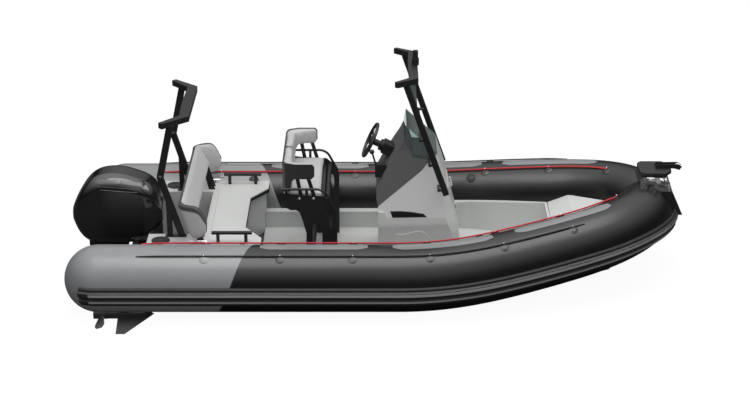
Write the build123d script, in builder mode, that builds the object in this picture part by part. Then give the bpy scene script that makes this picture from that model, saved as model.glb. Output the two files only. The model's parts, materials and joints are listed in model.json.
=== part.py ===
"""Family RIB boat with a helm console, a two-bucket leaning seat, an aft bench and an outboard.

Frame: +X towards the bow, +Y to port, +Z up, millimetres.
Origin: on the waterline, on the centre plane, at mid-length.  The waterline touches the
underside of the straight part of the inflatable collar.
"""
import math
import os

from build123d import *

os.makedirs("parts", exist_ok=True)

# ------------------------------------------------------------------ driving dimensions
fit = 0.4                      # clearance between mouldings that sit on each other
swing = 6.0                    # clearance between a moving piece and its neighbour
plate = 8.0                    # metal plate
skin = 12.0                    # glass-fibre moulding

tube_radius = 292.5
bow_tube_radius = 265.0
tube_spacing = 1955.0          # between the centre lines of the straight tubes
tube_height = 292.5            # centre line above the waterline
tube_aft_x = -2390.0           # where the round aft end starts
bend_x = 200.0                 # where the collar starts to turn in and rise
tube_y = tube_spacing / 2

# centre line of the port tube past the bend, one row per arc: x, y, z
bend_points = [
    (1000, 888, 348),
    (1800, 655, 470),
    (2200, 438, 538),
    (2455, 0, 556),
]
# places along each arc that take a section of the collar: arc number, share of the arc
bend_sections = [(0, 0.0), (0, 0.08), (0, 0.5), (1, 0.0), (1, 0.5), (2, 0.0), (2, 0.5),
                 (3, 0.0), (3, 0.35), (3, 0.7)]

strake_low = -25.4             # degrees below the tube's widest line
strake_high = 7.6
strake_wrap = 25.0             # degrees that the strake runs round the aft end

# hull sections: x, keel z, chine y, chine z, rail y, rail z
hull_sections = [
    (-2160, -385, 850, -18, 872, 70),
    (-900, -390, 855, -18, 872, 70),
    (300, -385, 850, -12, 870, 70),
    (900, -362, 815, 25, 850, 110),
    (1350, -305, 735, 75, 790, 170),
    (1700, -215, 625, 125, 690, 225),
    (2000, -45, 480, 185, 540, 275),
    (2250, 115, 300, 250, 350, 320),
    (2430, 260, 110, 310, 150, 350),
]
hull_top = 70.0                # flat top of the hull under the deck
transom_x = -2160.0
transom_top = 120.0
transom_thickness = 60.0
well_half = 500.0              # half-width of the motor well
well_front_x = -1455.0
well_floor = 5.0               # floor of the motor well, low enough for the tilted cowling

deck_floor = 100.0
deck_half = 600.0              # half-width of the cockpit floor
deck_aft_x = -1040.0
side_step_low = 262.0          # top of the side coaming aft
side_step_x = 330.0            # where the coaming steps up, beside the console
coaming_high = 335.0           # top of the coaming just forward of that step
locker_x = 1605.0              # aft wall of the bow locker
locker_low = 432.0             # top of the locker at its aft edge
locker_crest_x = 1785.0        # where the steep aft part of the locker top eases
locker_crest = 528.0
locker_front_x = 2120.0
locker_high = 572.0            # top of the locker at its forward edge
lid_thickness = 24.0

quarter_top = 505.0            # stern quarters and bench top
bench_thickness = 42.0
bench_front_x = -1000.0        # at the sides
bench_recess_x = -1155.0       # in the middle
bench_recess_half = 350.0
bench_flare_half = 590.0


def collar(extra=0.0):
    """Port half of the collar, grown by extra: a round aft end, a straight tube and a bend
    that turns in and rises to the centre plane while the tube gets slimmer."""
    straight = tube_radius + extra
    with BuildLine() as centre_line:
        piece = Line((tube_aft_x, tube_y, tube_height), (bend_x, tube_y, tube_height))
        arcs = []
        for point in bend_points:
            piece = TangentArc(piece @ 1, point, tangent=piece % 1)
            arcs.append(piece)
    total = len(arcs)
    with BuildPart() as side:
        for number, share in bend_sections:
            arc = arcs[number]
            with BuildSketch(section_plane(arc, share)):
                Circle(section_radius(number + share, total) + extra)
        with BuildSketch(Plane(origin=arcs[-1] @ 1, x_dir=(1, 0, 0), z_dir=(0, -1, 0))):
            Circle(bow_tube_radius + extra)
        loft()
        with BuildSketch(Plane.XZ.offset(-tube_y)):
            with BuildLine():
                aft = (tube_aft_x - straight, tube_height)
                crown = (tube_aft_x, tube_height + straight)
                Polyline(crown, (bend_x, tube_height + straight), (bend_x, tube_height), aft)
                RadiusArc(crown, aft, -straight)
            make_face()
        revolve(axis=Axis((0, tube_y, tube_height), (1, 0, 0)))
        split(bisect_by=Plane.XZ.offset(-fit / 2), keep=Keep.BOTTOM)
    return side.part, arcs


def section_plane(arc, share):
    """Plane across an arc of the centre line, its local x pointing outboard."""
    along = arc % share
    return Plane(origin=arc @ share, x_dir=Vector(0, 0, 1).cross(along), z_dir=along)


def section_radius(place, total):
    return tube_radius - (tube_radius - bow_tube_radius) * (place / total) ** 1.5


def polar(radius, degrees):
    return (radius * math.cos(math.radians(degrees)), radius * math.sin(math.radians(degrees)))


def save(part, name):
    part.label = name
    part.color = None
    export_step(part, f"parts/{name}.step")


def side_plate(points, y, thickness):
    """Plate in the plane of X and Z, from y outwards by thickness towards +Y."""
    with BuildPart() as made:
        with BuildSketch(Plane.XZ.offset(-y)):
            with BuildLine():
                Polyline(*points, close=True)
            make_face()
        extrude(amount=-thickness)
    return made.part


def bar(points, radius, bend=40.0):
    """Round bar along straight runs joined by arcs."""
    with BuildPart() as made:
        with BuildLine() as route:
            FilletPolyline(*points, radius=bend)
        with BuildSketch(Plane(origin=route.wire() @ 0, z_dir=route.wire() % 0)):
            Circle(radius)
        sweep()
    return made.part


def strut(start, end, wide, thick, x_dir=(1, 0, 0)):
    """Flat-oval strut between two points, wide across x_dir."""
    start = Vector(*start)
    end = Vector(*end)
    along = (end - start).normalized()
    across = Vector(*x_dir)
    across = (across - along * across.dot(along)).normalized()
    with BuildPart() as made:
        with BuildSketch(Plane(origin=start, x_dir=across, z_dir=along)):
            SlotOverall(wide, thick)
        extrude(amount=(end - start).length)
    return made.part


# ------------------------------------------------------------------ inflatable collar
port_side, port_arcs = collar()
port_keepout, _ = collar(fit)
lid_keepout, _ = collar(swing)
with BuildPart() as port_tube:
    add(port_side)
save(port_tube.part, "port_tube")

with BuildPart() as starboard_tube:
    mirror(port_side, about=Plane.XZ)
save(starboard_tube.part, "starboard_tube")

with BuildPart() as collar_keepout:
    add(port_keepout)
    mirror(port_keepout, about=Plane.XZ)

# ------------------------------------------------------------------ rubbing strakes
strake_gap = 1.6
strake_seat, _ = collar(0.75 * strake_gap)     # keeps the strake off the fabric between its sections
# outline of the strake across the tube: share of its height, thickness
strake_outline = [(0.0, 0), (0.0, 16), (0.08, 22), (0.20, 22), (0.25, 36), (0.36, 36), (0.41, 22),
                  (0.52, 22), (0.58, 40), (0.76, 40), (0.82, 22), (0.93, 22), (1.0, 14), (1.0, 0),
                  (0.75, 0), (0.5, 0), (0.25, 0)]


def strake_corners(radius):
    corners = []
    for share, height in strake_outline:
        degrees = strake_low + share * (strake_high - strake_low)
        corners.append(polar(radius + strake_gap + height, degrees))
    return corners


strake_places = [(section_plane(port_arcs[number], share), section_radius(number + share, len(port_arcs)))
                 for number, share in bend_sections]
strake_places.append((Plane(origin=port_arcs[-1] @ 1, x_dir=(1, 0, 0), z_dir=(0, -1, 0)), bow_tube_radius))

with BuildPart() as port_strake:
    for place, radius in strake_places:
        with BuildSketch(place):
            with BuildLine():
                Polyline(*strake_corners(radius), close=True)
            make_face()
    loft()
    with BuildSketch(Plane(origin=(bend_x, tube_y, tube_height), x_dir=(0, 1, 0), z_dir=(1, 0, 0))):
        with BuildLine():
            Polyline(*strake_corners(tube_radius), close=True)
        make_face()
    extrude(amount=tube_aft_x - bend_x)
    with BuildSketch(Plane(origin=(tube_aft_x, tube_y, tube_height), x_dir=(0, 1, 0), z_dir=(1, 0, 0))):
        with BuildLine():
            Polyline(*strake_corners(tube_radius), close=True)
        make_face()
    revolve(axis=Axis((tube_aft_x, tube_y, 0), (0, 0, 1)), revolution_arc=strake_wrap)
    split(bisect_by=Plane.XZ.offset(-fit / 2), keep=Keep.BOTTOM)
    add(strake_seat, mode=Mode.SUBTRACT)
save(port_strake.part, "port_strake")

with BuildPart() as starboard_strake:
    mirror(port_strake.part, about=Plane.XZ)
save(starboard_strake.part, "starboard_strake")

# ------------------------------------------------------------------ hull
liner_outline = [(deck_aft_x - 450, 700), (900, 700), (locker_x + 25, 560), (locker_front_x, 300)]


def both_sides(points):
    return points + [(x, -y) for x, y in reversed(points)]


with BuildPart() as liner_space:
    with BuildSketch(Plane.XY.offset(hull_top)):
        with BuildLine():
            Polyline(*both_sides(liner_outline), close=True)
        make_face()
    extrude(amount=600)

with BuildPart() as hull:
    for x, keel_z, chine_y, chine_z, rail_y, rail_z in hull_sections:
        with BuildSketch(Plane(origin=(x, 0, 0), x_dir=(0, 1, 0), z_dir=(1, 0, 0))):
            with BuildLine():
                Polyline((0, keel_z), (chine_y, chine_z), (rail_y, rail_z), (-rail_y, rail_z),
                         (-chine_y, chine_z), close=True)
            make_face()
    loft(ruled=True)
    with BuildSketch(Plane.XY.offset(hull_top - fit)):
        with Locations((transom_x + transom_thickness / 2, 0)):
            Rectangle(transom_thickness, 2 * well_half - 2 * fit)
    extrude(amount=transom_top - hull_top + fit)
    add(liner_space.part, mode=Mode.SUBTRACT)
    with BuildSketch(Plane.XY.offset(well_floor)):
        with Locations(((transom_x + transom_thickness + well_front_x) / 2, 0)):
            Rectangle(well_front_x - transom_x - transom_thickness, 2 * well_half - 60)
    extrude(amount=200, mode=Mode.SUBTRACT)
    add(collar_keepout.part, mode=Mode.SUBTRACT)
save(hull.part, "hull")

# ------------------------------------------------------------------ deck moulding
with BuildPart() as deck_moulding:
    with BuildSketch(Plane.XZ.offset(-720)):
        with BuildLine():
            Polyline((deck_aft_x + fit, hull_top + 0.3), (deck_aft_x + fit, side_step_low),
                     (side_step_x, side_step_low), (side_step_x + 90, coaming_high),
                     (locker_x - 3, locker_low), (locker_x - 3, locker_low - lid_thickness - fit),
                     (locker_x, locker_low - lid_thickness - fit),
                     (locker_crest_x, locker_crest - lid_thickness - fit),
                     (locker_front_x, locker_high - lid_thickness - fit),
                     (locker_front_x, hull_top + 0.3), close=True)
        make_face()
    extrude(amount=1440)
    # cockpit
    with BuildSketch(Plane.XY.offset(deck_floor)):
        with BuildLine():
            Polyline(*both_sides([(deck_aft_x - 100, deck_half), (300, deck_half), (900, 575),
                                  (locker_x - 25, 400)]), close=True)
        make_face()
    extrude(amount=700, mode=Mode.SUBTRACT)
    # inside of the bow locker
    with BuildSketch(Plane.XY.offset(deck_floor + 190)):
        with BuildLine():
            Polyline(*both_sides([(locker_x + 25, 330), (locker_front_x - 60, 95)]), close=True)
        make_face()
    extrude(amount=500, mode=Mode.SUBTRACT)
    with BuildSketch(Plane.XY.offset(hull_top + 0.3)):
        with BuildLine():
            Polyline(*both_sides([(x, y - fit) for x, y in liner_outline]), close=True)
        make_face()
    extrude(amount=700, mode=Mode.INTERSECT)
    add(collar_keepout.part, mode=Mode.SUBTRACT)
save(deck_moulding.part, "deck_moulding")

lid_start = locker_x + 3
lid_end = locker_front_x - swing
lid_start_z = locker_low + (lid_start - locker_x) * (locker_crest - locker_low) / (locker_crest_x - locker_x)
lid_hinge_z = 565.0
lid_hinge_radius = 8.0
lid_end_z = locker_high - swing * (locker_high - locker_crest) / (locker_front_x - locker_crest_x)

with BuildPart() as bow_locker_lid:
    with BuildSketch(Plane.XZ.offset(-460)):
        with BuildLine():
            Polyline((lid_start, lid_start_z), (locker_crest_x, locker_crest), (lid_end, lid_end_z),
                     (lid_end, lid_end_z - lid_thickness), (locker_crest_x, locker_crest - lid_thickness),
                     (lid_start, lid_start_z - lid_thickness), close=True)
        make_face()
    extrude(amount=920)
    with BuildSketch(Plane.XY.offset(300)):
        with BuildLine():
            Polyline(*both_sides([(locker_x - 50, 440), (1800, 360), (locker_front_x + 20, 90)]), close=True)
        make_face()
    extrude(amount=400, mode=Mode.INTERSECT)
    add(lid_keepout, mode=Mode.SUBTRACT)
    mirror(lid_keepout, about=Plane.XZ, mode=Mode.SUBTRACT)
    with Locations(Location((lid_end, 0, lid_hinge_z), (90, 0, 0))):
        Cylinder(lid_hinge_radius, 140)
save(bow_locker_lid.part, "bow_locker_lid")

# ------------------------------------------------------------------ aft moulding and bench
bench_outline = [(well_front_x, 790), (bench_front_x, 790), (bench_front_x, bench_flare_half),
                 (bench_recess_x, bench_recess_half)]
inset = 28.0
body_outline = [(well_front_x, 790), (bench_front_x - inset, 790), (bench_front_x - inset, bench_flare_half - 8),
                (bench_recess_x - inset, bench_recess_half - 8)]
quarter_aft_x = -2000.0

with BuildPart() as aft_moulding:
    with BuildSketch(Plane.XY.offset(hull_top + 0.3)):
        with BuildLine():
            Polyline(*both_sides(body_outline), close=True)
        make_face()
    extrude(amount=quarter_top - bench_thickness - fit - hull_top - 0.3)
    with BuildSketch(Plane.XY.offset(hull_top + 0.3)):
        for side in (1, -1):
            with Locations(((quarter_aft_x + well_front_x) / 2, side * (well_half + 145))):
                Rectangle(well_front_x - quarter_aft_x, 290)
    extrude(amount=quarter_top - hull_top - 0.3)
    with BuildSketch(Plane.XY.offset(0)):
        with Locations((deck_aft_x + 500, 0)):
            Rectangle(1000, 2000)
    extrude(amount=side_step_low + fit, mode=Mode.SUBTRACT)
    add(collar_keepout.part, mode=Mode.SUBTRACT)
save(aft_moulding.part, "aft_moulding")

with BuildPart() as bench_seat:
    with BuildSketch(Plane.XY.offset(quarter_top - bench_thickness)):
        with BuildLine():
            Polyline(*both_sides([(x + (fit if x == well_front_x else 0), y) for x, y in bench_outline]), close=True)
        make_face()
    extrude(amount=bench_thickness)
    add(collar_keepout.part, mode=Mode.SUBTRACT)
save(bench_seat.part, "bench_seat")

# ------------------------------------------------------------------ bench grab rails
rail_y = 700.0
with BuildPart() as bench_grab_rails:
    for side in (1, -1):
        for x in (-1372, -1128):
            with Locations((x, side * rail_y, quarter_top)):
                Cylinder(15, 88, align=(Align.CENTER, Align.CENTER, Align.MIN))
        with Locations((-1250, side * rail_y, quarter_top + 96)):
            Box(352, 36, 20)
save(bench_grab_rails.part, "bench_grab_rails")

# ------------------------------------------------------------------ aft backrest
back_half = 730.0
# side view of the backrest's middle and of its wings
back_profile = [(-1748, 876), (-1682, 892), (-1548, 712), (-1607, 709)]
wing_profile = [(-1735, 868), (-1545, 838), (-1455, 655), (-1500, 610), (-1652, 576)]
with BuildPart() as aft_backrest:
    with BuildSketch(Plane.XZ.offset(-back_half)):
        with BuildLine():
            Polyline(*back_profile, close=True)
        make_face()
    extrude(amount=2 * back_half)
    for side in (1, -1):
        with BuildSketch(Plane.XZ.offset(-side * 770)):
            with BuildLine():
                Polyline(*wing_profile, close=True)
            make_face()
        extrude(amount=side * 50)
save(aft_backrest.part, "aft_backrest")

with BuildPart() as backrest_brackets:
    for side in (1, -1):
        for y in (560, 640):
            add(side_plate([(-1560, quarter_top + 0.3), (-1500, quarter_top + 0.3), (-1563, 710.9), (-1605, 708.8)],
                           side * y - 5, 10))
save(backrest_brackets.part, "backrest_brackets")

# ------------------------------------------------------------------ ski mast
hoop_height = 1550.0
with BuildPart() as ski_mast:
    for side in (1, -1):
        foot = (-1700, side * 545, quarter_top)
        knee = (-1870, side * 560, 1062)
        head = (-1765, side * 550, hoop_height - 10)
        add(strut(foot, knee, 62, 34))
        add(strut(knee, head, 62, 34))
        add(strut((-1806, side * 545, quarter_top), (-1806, side * 555, 880), 50, 34))
        with Locations(knee):
            Sphere(30)
        with BuildSketch(Plane.XY.offset(quarter_top)):
            with Locations((-1755, side * 545)):
                RectangleRounded(190, 60, 20)
        extrude(amount=8)
    split(bisect_by=Plane.XY.offset(quarter_top + 0.3), keep=Keep.TOP)
    with BuildSketch(Plane.XY.offset(hoop_height - 25)):
        with BuildLine():
            Polyline(*both_sides([(-1830, 610), (-1615, 410)]), close=False)
            Polyline((-1830, 610), (-1862, 575), (-1700, 385), (-1708, 120), (-1708, -120), (-1700, -385), (-1862, -575),
                     (-1830, -610))
        make_face()
    extrude(amount=50)
save(ski_mast.part, "ski_mast")

with BuildPart() as deck_plates:
    for side in (1, -1):
        with Locations((-1880, side * 655, quarter_top + 0.3)):
            Cylinder(80, 8, align=(Align.CENTER, Align.CENTER, Align.MIN))
save(deck_plates.part, "deck_plates")

# ------------------------------------------------------------------ helm seat
seat_half = 470.0
shell_low = 1015.0             # underside of the backrest shell's side wings
shell_top = 1150.0
# the backrest shell and its pads: plan outlines of the port half, aft wall first
shell_outer = [(-815, 380), (-790, 440), (-700, 478), (-530, 478)]
shell_inner = [(-530, 466), (-696, 466), (-780, 431), (-802, 375)]
pad_outer = [(-530, 465.6), (-696.2, 465.6), (-779.8, 430.6), (-801.6, 374.8)]
seat_plate = [(-845, 885), (-815, 800), (-785, 742), (-743, 720), (-695, 720), (-664, 700), (-642, 630),
              (-608, 500), (-612, deck_floor), (-333, deck_floor), (-333, 700), (-375, 790), (-450, 852),
              (-660, 862)]
with BuildPart() as helm_seat_frame:
    for side in (1, -1):
        add(side_plate(seat_plate, side * seat_half - plate / 2, plate))
        for foot_x, head_x in ((-650, -681), (-535, -585)):
            add(strut((foot_x, side * seat_half, 850), (head_x, side * seat_half, shell_low + 8), 34, 14))
    split(bisect_by=Plane.XY.offset(shell_low - fit), keep=Keep.BOTTOM)
    for x, z in ((-560, 200), (-400, 300), (-700, 790), (-420, 790)):
        with Locations(Location((x, 0, z), (90, 0, 0))):
            Cylinder(20, 2 * seat_half)
    with Locations((-575, 0, 790)):
        Box(250, 2 * seat_half, 10)
save(helm_seat_frame.part, "helm_seat_frame")

with BuildPart() as helm_seat_cushion:
    with Locations((-640, 0, 810.3)):
        Box(350, 2 * (seat_half - 26), 60, align=(Align.CENTER, Align.CENTER, Align.MIN))
save(helm_seat_cushion.part, "helm_seat_cushion")

# side view of the backrest: deep behind the seat, shallow at the wings
backrest_side = [(-830, 892), (-830, shell_top - 25), (-805, shell_top), (-550, shell_top), (-528, shell_top - 28),
                 (-528, shell_low + 30), (-555, shell_low), (-705, shell_low), (-735, 985), (-742, 892)]


def backrest_trim():
    with BuildPart() as made:
        with BuildSketch(Plane.XZ.offset(-500)):
            with BuildLine():
                Polyline(*backrest_side, close=True)
            make_face()
        extrude(amount=1000)
    return made.part


with BuildPart() as helm_backrest_shell:
    with BuildSketch(Plane.XY.offset(892)):
        with BuildLine():
            Polyline(*[(x, -y) for x, y in reversed(shell_outer)], *shell_outer, *shell_inner,
                     *[(x, -y) for x, y in reversed(shell_inner)], close=True)
        make_face()
    extrude(amount=shell_top - 892)
    add(backrest_trim(), mode=Mode.INTERSECT)
save(helm_backrest_shell.part, "helm_backrest_shell")

with BuildPart() as helm_backrest_pads:
    for side in (1, -1):
        with BuildSketch(Plane.XY.offset(892)):
            with BuildLine():
                base = [(-801.6, 20), (-745, 20), (-735, 370), (-645, 408), (-535, 415), *pad_outer]
                Polyline(*[(x, side * y) for x, y in base], close=True)
            make_face()
        extrude(amount=shell_top - 892)
    add(backrest_trim(), mode=Mode.INTERSECT)
save(helm_backrest_pads.part, "helm_backrest_pads")

with BuildPart() as helm_grab_loops:
    for side in (1, -1):
        y = side * (seat_half + 20)
        add(bar([(-820, y, 925), (-450, y, 925), (-345, y, 720)], 11, bend=110))
        for x in (-780, -600):
            with Locations((x, side * (seat_half + plate / 2 + 8.3), 890)):
                Box(24, 16, 70)
save(helm_grab_loops.part, "helm_grab_loops")

# ------------------------------------------------------------------ console
door_half = 220.0
door_thickness = 12.0
# front view of the console: half-width at each height; it leans in above the knee
console_widths = [(deck_floor + fit, 360), (600, 360), (1200, 250), (1450, 235)]
# side view of the front face
console_front = [(795, deck_floor + fit), (744, 453), (630, 922), (548, 1172)]
# side view of the joint between the base and the pod
pod_joint = [(56, 724), (413, 1019), (493, 1122)]
# side view of the edge where the clear screen meets the pod
screen_joint = [(257, 1302), (279, 1249), (309, 1218), (331, 1137)]
# side view of the door's outer face
face_foot = (768, 320)
face_head = (656, 836)
hinge_y = door_half - swing / 2
hinge_radius = 7.0
hinge_stand = 15.0             # how far the hinge line stands off the door's face
hinge_pitch = (face_head[1] - face_foot[1]) / 5
console_corner = 60.0          # how far the chamfered front corners reach aft


def console_envelope(inset=0.0):
    """Front view of the console carried along its length, drawn in by inset."""
    with BuildPart() as made:
        with BuildSketch(Plane.YZ.offset(-100)):
            with BuildLine():
                half = [(y - inset, z) for z, y in console_widths]
                Polyline(*half, *[(-y, z) for y, z in reversed(half)], close=True)
            make_face()
        extrude(amount=1000)
    return made.part


def corner_wedges(inset=0.0):
    """What the chamfers take off the two front corners, drawn in by inset."""
    with BuildPart() as made:
        for side in (1, -1):
            for (x, z), reach in zip(console_front, (1.0, 1.0, 0.9, 0.35)):
                half = console_width(z) - inset * 1.2
                aft = console_corner * reach
                with BuildSketch(Plane.XY.offset(z)):
                    with BuildLine():
                        Polyline((x - 2 * aft - inset, side * (half + 0.8 * aft)), (x + aft - inset, side * (half - 1.6 * aft)),
                                 (x + aft + 40, side * (half + 0.8 * aft)), close=True)
                    make_face()
            loft(ruled=True)
    return made.part


def console_width(z):
    for (low, wide), (high, slim) in zip(console_widths, console_widths[1:]):
        if z <= high:
            return wide + (slim - wide) * (z - low) / (high - low)


def console_slab(points):
    with BuildPart() as made:
        with BuildSketch(Plane.XZ.offset(-400)):
            with BuildLine():
                Polyline(*points, close=True)
            make_face()
        extrude(amount=800)
    return made.part


def hinge_barrel(start, length):
    """Barrel on the door's slanted hinge line, start measured up from its foot."""
    foot = Vector(face_foot[0] + hinge_stand, hinge_y, face_foot[1])
    line = Vector(face_head[0] - face_foot[0], 0, face_head[1] - face_foot[1]).normalized()
    with BuildPart() as made:
        with BuildSketch(Plane(origin=foot + line * start, x_dir=(0, 1, 0), z_dir=line)):
            Circle(hinge_radius)
        extrude(amount=length)
    return made.part


def hinge_leaf(start, length, near_y, far_y):
    """Flat leaf on the hinge line between two widths, reaching back into the moulding."""
    foot = Vector(face_foot[0] + hinge_stand, 0, face_foot[1])
    line = Vector(face_head[0] - face_foot[0], 0, face_head[1] - face_foot[1]).normalized()
    with BuildPart() as made:
        with BuildSketch(Plane(origin=foot + line * start, x_dir=(0, 1, 0), z_dir=line)):
            with Locations(((near_y + far_y) / 2, 0)):
                Rectangle(far_y - near_y, 4)
        extrude(amount=length)
    return made.part


vent = [(135, 659), (230, 661), (330, 652), (430, 636), (467, 603), (156, 597)]
foot_panel = [(28, deck_floor + fit), (28, 655), (84, 655), (134, 555), (190, 442), (260, 442), (387, 474),
              (446, 458), (499, 401), (575, deck_floor + fit)]
with BuildPart() as console_base:
    add(console_slab([(28, deck_floor + fit), (28, 700), *pod_joint, *reversed(console_front)]))
    add(console_envelope(), mode=Mode.INTERSECT)
    add(corner_wedges(), mode=Mode.SUBTRACT)
    with BuildPart(mode=Mode.SUBTRACT):
        add(console_slab([(28 + skin, deck_floor + fit), (28 + skin, 690), (66, 712), (405, 993), (482, 1092),
                          (528, 1130), (614, 915), (728, 450), (779, deck_floor + fit)]))
        add(console_envelope(skin), mode=Mode.INTERSECT)
        add(corner_wedges(skin), mode=Mode.SUBTRACT)
    with BuildSketch(Plane.YZ.offset(560)):
        with Locations((0, (face_foot[1] + face_head[1]) / 2)):
            Rectangle(2 * door_half, face_head[1] - face_foot[1] + 2 * swing)
    extrude(amount=400, mode=Mode.SUBTRACT)
    for side in (1, -1):
        add(side_plate(foot_panel, side * 358.5 - 9.5, 19))
        add(side_plate(vent, side * 365 - 15, 30), mode=Mode.SUBTRACT)
    for start in (hinge_pitch, 3.6 * hinge_pitch):
        add(hinge_barrel(start + 40, 40))
        add(hinge_leaf(start + 40, 40, hinge_y, hinge_y + 26))
        with BuildSketch(Plane.XZ.offset(-hinge_y - 26)):
            with BuildLine():
                slope = (face_head[0] - face_foot[0]) / (face_head[1] - face_foot[1])
                low = face_foot[1] + (start + 42) * 0.978
                high = low + 35
                Polyline(*[(face_foot[0] + slope * (z - face_foot[1]) + x, z)
                           for x, z in ((-14, low), (hinge_stand, low), (hinge_stand, high), (-14, high))], close=True)
            make_face()
        extrude(amount=14)
save(console_base.part, "console_base")

with BuildPart() as console_pod:
    add(console_slab([(28, 700.4), (11, 767), (14, 850), (85, 1000), (184, 1170), (228, 1240), *screen_joint,
                      (493 - fit, 1122 + fit), (413 - fit, 1019 + fit), (56 - fit, 724 + fit)]))
    add(console_envelope(), mode=Mode.INTERSECT)
save(console_pod.part, "console_pod")

with BuildPart() as console_door:
    with BuildSketch(Plane.XZ.offset(-(door_half - swing))):
        with BuildLine():
            Polyline((face_head[0] - door_thickness, face_head[1] - 2), face_head, face_foot,
                     (face_foot[0] - door_thickness, face_foot[1] - 2), close=True)
        make_face()
    extrude(amount=2 * (door_half - swing))
    for start in (hinge_pitch, 3.6 * hinge_pitch):
        add(hinge_barrel(start, 39.7))
        add(hinge_leaf(start, 39.7, hinge_y - 30, hinge_y))
        with BuildSketch(Plane.XZ.offset(-(hinge_y - 16))):
            with BuildLine():
                slope = (face_head[0] - face_foot[0]) / (face_head[1] - face_foot[1])
                low = face_foot[1] + (start + 2) * 0.978
                high = low + 35
                Polyline(*[(face_foot[0] + slope * (z - face_foot[1]) + x, z)
                           for x, z in ((-4, low), (hinge_stand, low), (hinge_stand, high), (-4, high))], close=True)
            make_face()
        extrude(amount=14)
save(console_door.part, "console_door")

screen_skin = 5.0
with BuildPart() as windscreen:
    add(console_slab([(257 + fit, 1302 + fit), (278, 1424), (546, 1176), (548, 1172 + fit), (493, 1122 + 2 * fit),
                      (331 + fit, 1137 + fit), (309 + fit, 1218 + fit), (279 + fit, 1249 + fit)]))
    add(console_envelope(), mode=Mode.INTERSECT)
    with BuildPart(mode=Mode.SUBTRACT):
        add(console_slab([(200, 1100), (200, 1425), (278 - 1, 1424 - 1 - 1.4 * screen_skin), (545 - 1.4 * screen_skin, 1176),
                          (545 - 2 * screen_skin, 1100)]))
        add(console_envelope(screen_skin), mode=Mode.INTERSECT)
save(windscreen.part, "windscreen")

leg_foot = (628, 425, 845)
leg_head = (268, 425, 1862)
with BuildPart() as screen_frame:
    for side in (1, -1):
        foot = (leg_foot[0], side * leg_foot[1], leg_foot[2])
        head = (leg_head[0], side * leg_head[1], leg_head[2])
        add(strut(foot, head, 56, 34))
        for share in (0.04, 0.27, 0.50):
            x = leg_foot[0] + (leg_head[0] - leg_foot[0]) * share
            z = leg_foot[2] + (leg_head[2] - leg_foot[2]) * share
            inner = console_width(z)
            with Locations(Location((x - 52, side * (inner + 428) / 2, z), (90, 0, 0))):
                Cylinder(12, 428 - inner)
            with Locations(Location((x - 26, side * 416, z), (0, 90, 0))):
                Cylinder(12, 52)
    with BuildSketch(Plane.XY.offset(1862)):
        with BuildLine():
            Polyline(*both_sides([(194, 507), (375, 385)]), close=False)
            Polyline((194, 507), (170, 483), (300, 362), (290, 120), (290, -120), (300, -362), (170, -483), (194, -507))
        make_face()
    extrude(amount=50)
    add(console_base.part, mode=Mode.SUBTRACT)
    add(console_pod.part, mode=Mode.SUBTRACT)
    add(windscreen.part, mode=Mode.SUBTRACT)
save(screen_frame.part, "screen_frame")

with BuildPart() as screen_glass:
    with BuildSketch(Plane.XZ.offset(-407.7)):
        with BuildLine():
            Polyline((300, 1772), (304, 1774), (372, 1582), (368, 1580), close=True)
        make_face()
    extrude(amount=2 * 407.7)
save(screen_glass.part, "screen_glass")

with BuildPart() as nav_light:
    with Locations((355, 0, 1912)):
        Cylinder(32, 60, align=(Align.CENTER, Align.CENTER, Align.MIN))
    with Locations((355, 0, 1972)):
        Cylinder(24, 70, align=(Align.CENTER, Align.CENTER, Align.MIN))
save(nav_light.part, "nav_light")

# ------------------------------------------------------------------ steering wheel and throttle
wheel_y = 0.0
wheel_radius = 170.0
wheel_tilt = 25.0              # degrees that the wheel's axis points above the horizontal
wheel_axis = Vector(-math.cos(math.radians(wheel_tilt)), 0, math.sin(math.radians(wheel_tilt)))
wheel_centre = Vector(-40, wheel_y, 1205)
wheel_plane = Plane(origin=wheel_centre, x_dir=(0, 1, 0), z_dir=wheel_axis)

with BuildPart() as steering_wheel:
    with BuildSketch(Plane(origin=wheel_centre, x_dir=(0, 1, 0), z_dir=wheel_plane.y_dir)):
        with Locations((wheel_radius - 14, 0)):
            Circle(14)
    revolve(axis=Axis(wheel_centre, wheel_axis))
    with BuildSketch(wheel_plane.offset(-32)):
        Circle(40)
    extrude(amount=36)
    for angle in (90, 210, 330):
        rim = wheel_centre + wheel_plane.x_dir * (wheel_radius - 16) * math.cos(math.radians(angle)) \
            + wheel_plane.y_dir * (wheel_radius - 16) * math.sin(math.radians(angle))
        hub = wheel_centre - wheel_axis * 14
        add(strut(tuple(hub), tuple(rim), 26, 10, x_dir=tuple(wheel_axis.cross(rim - hub))))
save(steering_wheel.part, "steering_wheel")

with BuildPart() as steering_hub:
    with BuildSketch(wheel_plane.offset(-32.3)):
        Circle(30)
    extrude(amount=-62)
    with BuildSketch(wheel_plane.offset(-94)):
        Circle(52)
    extrude(amount=-150)
    with BuildSketch(wheel_plane.offset(-120)):
        Rectangle(150, 96)
    extrude(amount=-120)
    add(console_pod.part, mode=Mode.SUBTRACT)
    split(bisect_by=Plane(origin=wheel_centre - wheel_axis * 236, z_dir=wheel_axis), keep=Keep.TOP)
save(steering_hub.part, "steering_hub")

with BuildPart() as throttle_control:
    with Locations((60, -215, 1000)):
        Box(80, 60, 120)
    add(console_pod.part, mode=Mode.SUBTRACT)
    with Locations((15, -215, 1000)):
        Box(30, 60, 120)
    add(strut((10, -215, 1040), (-25, -215, 1165), 20, 16, x_dir=(0, 1, 0)))
    with Locations((-27, -215, 1172)):
        Sphere(22)
save(throttle_control.part, "throttle_control")

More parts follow.
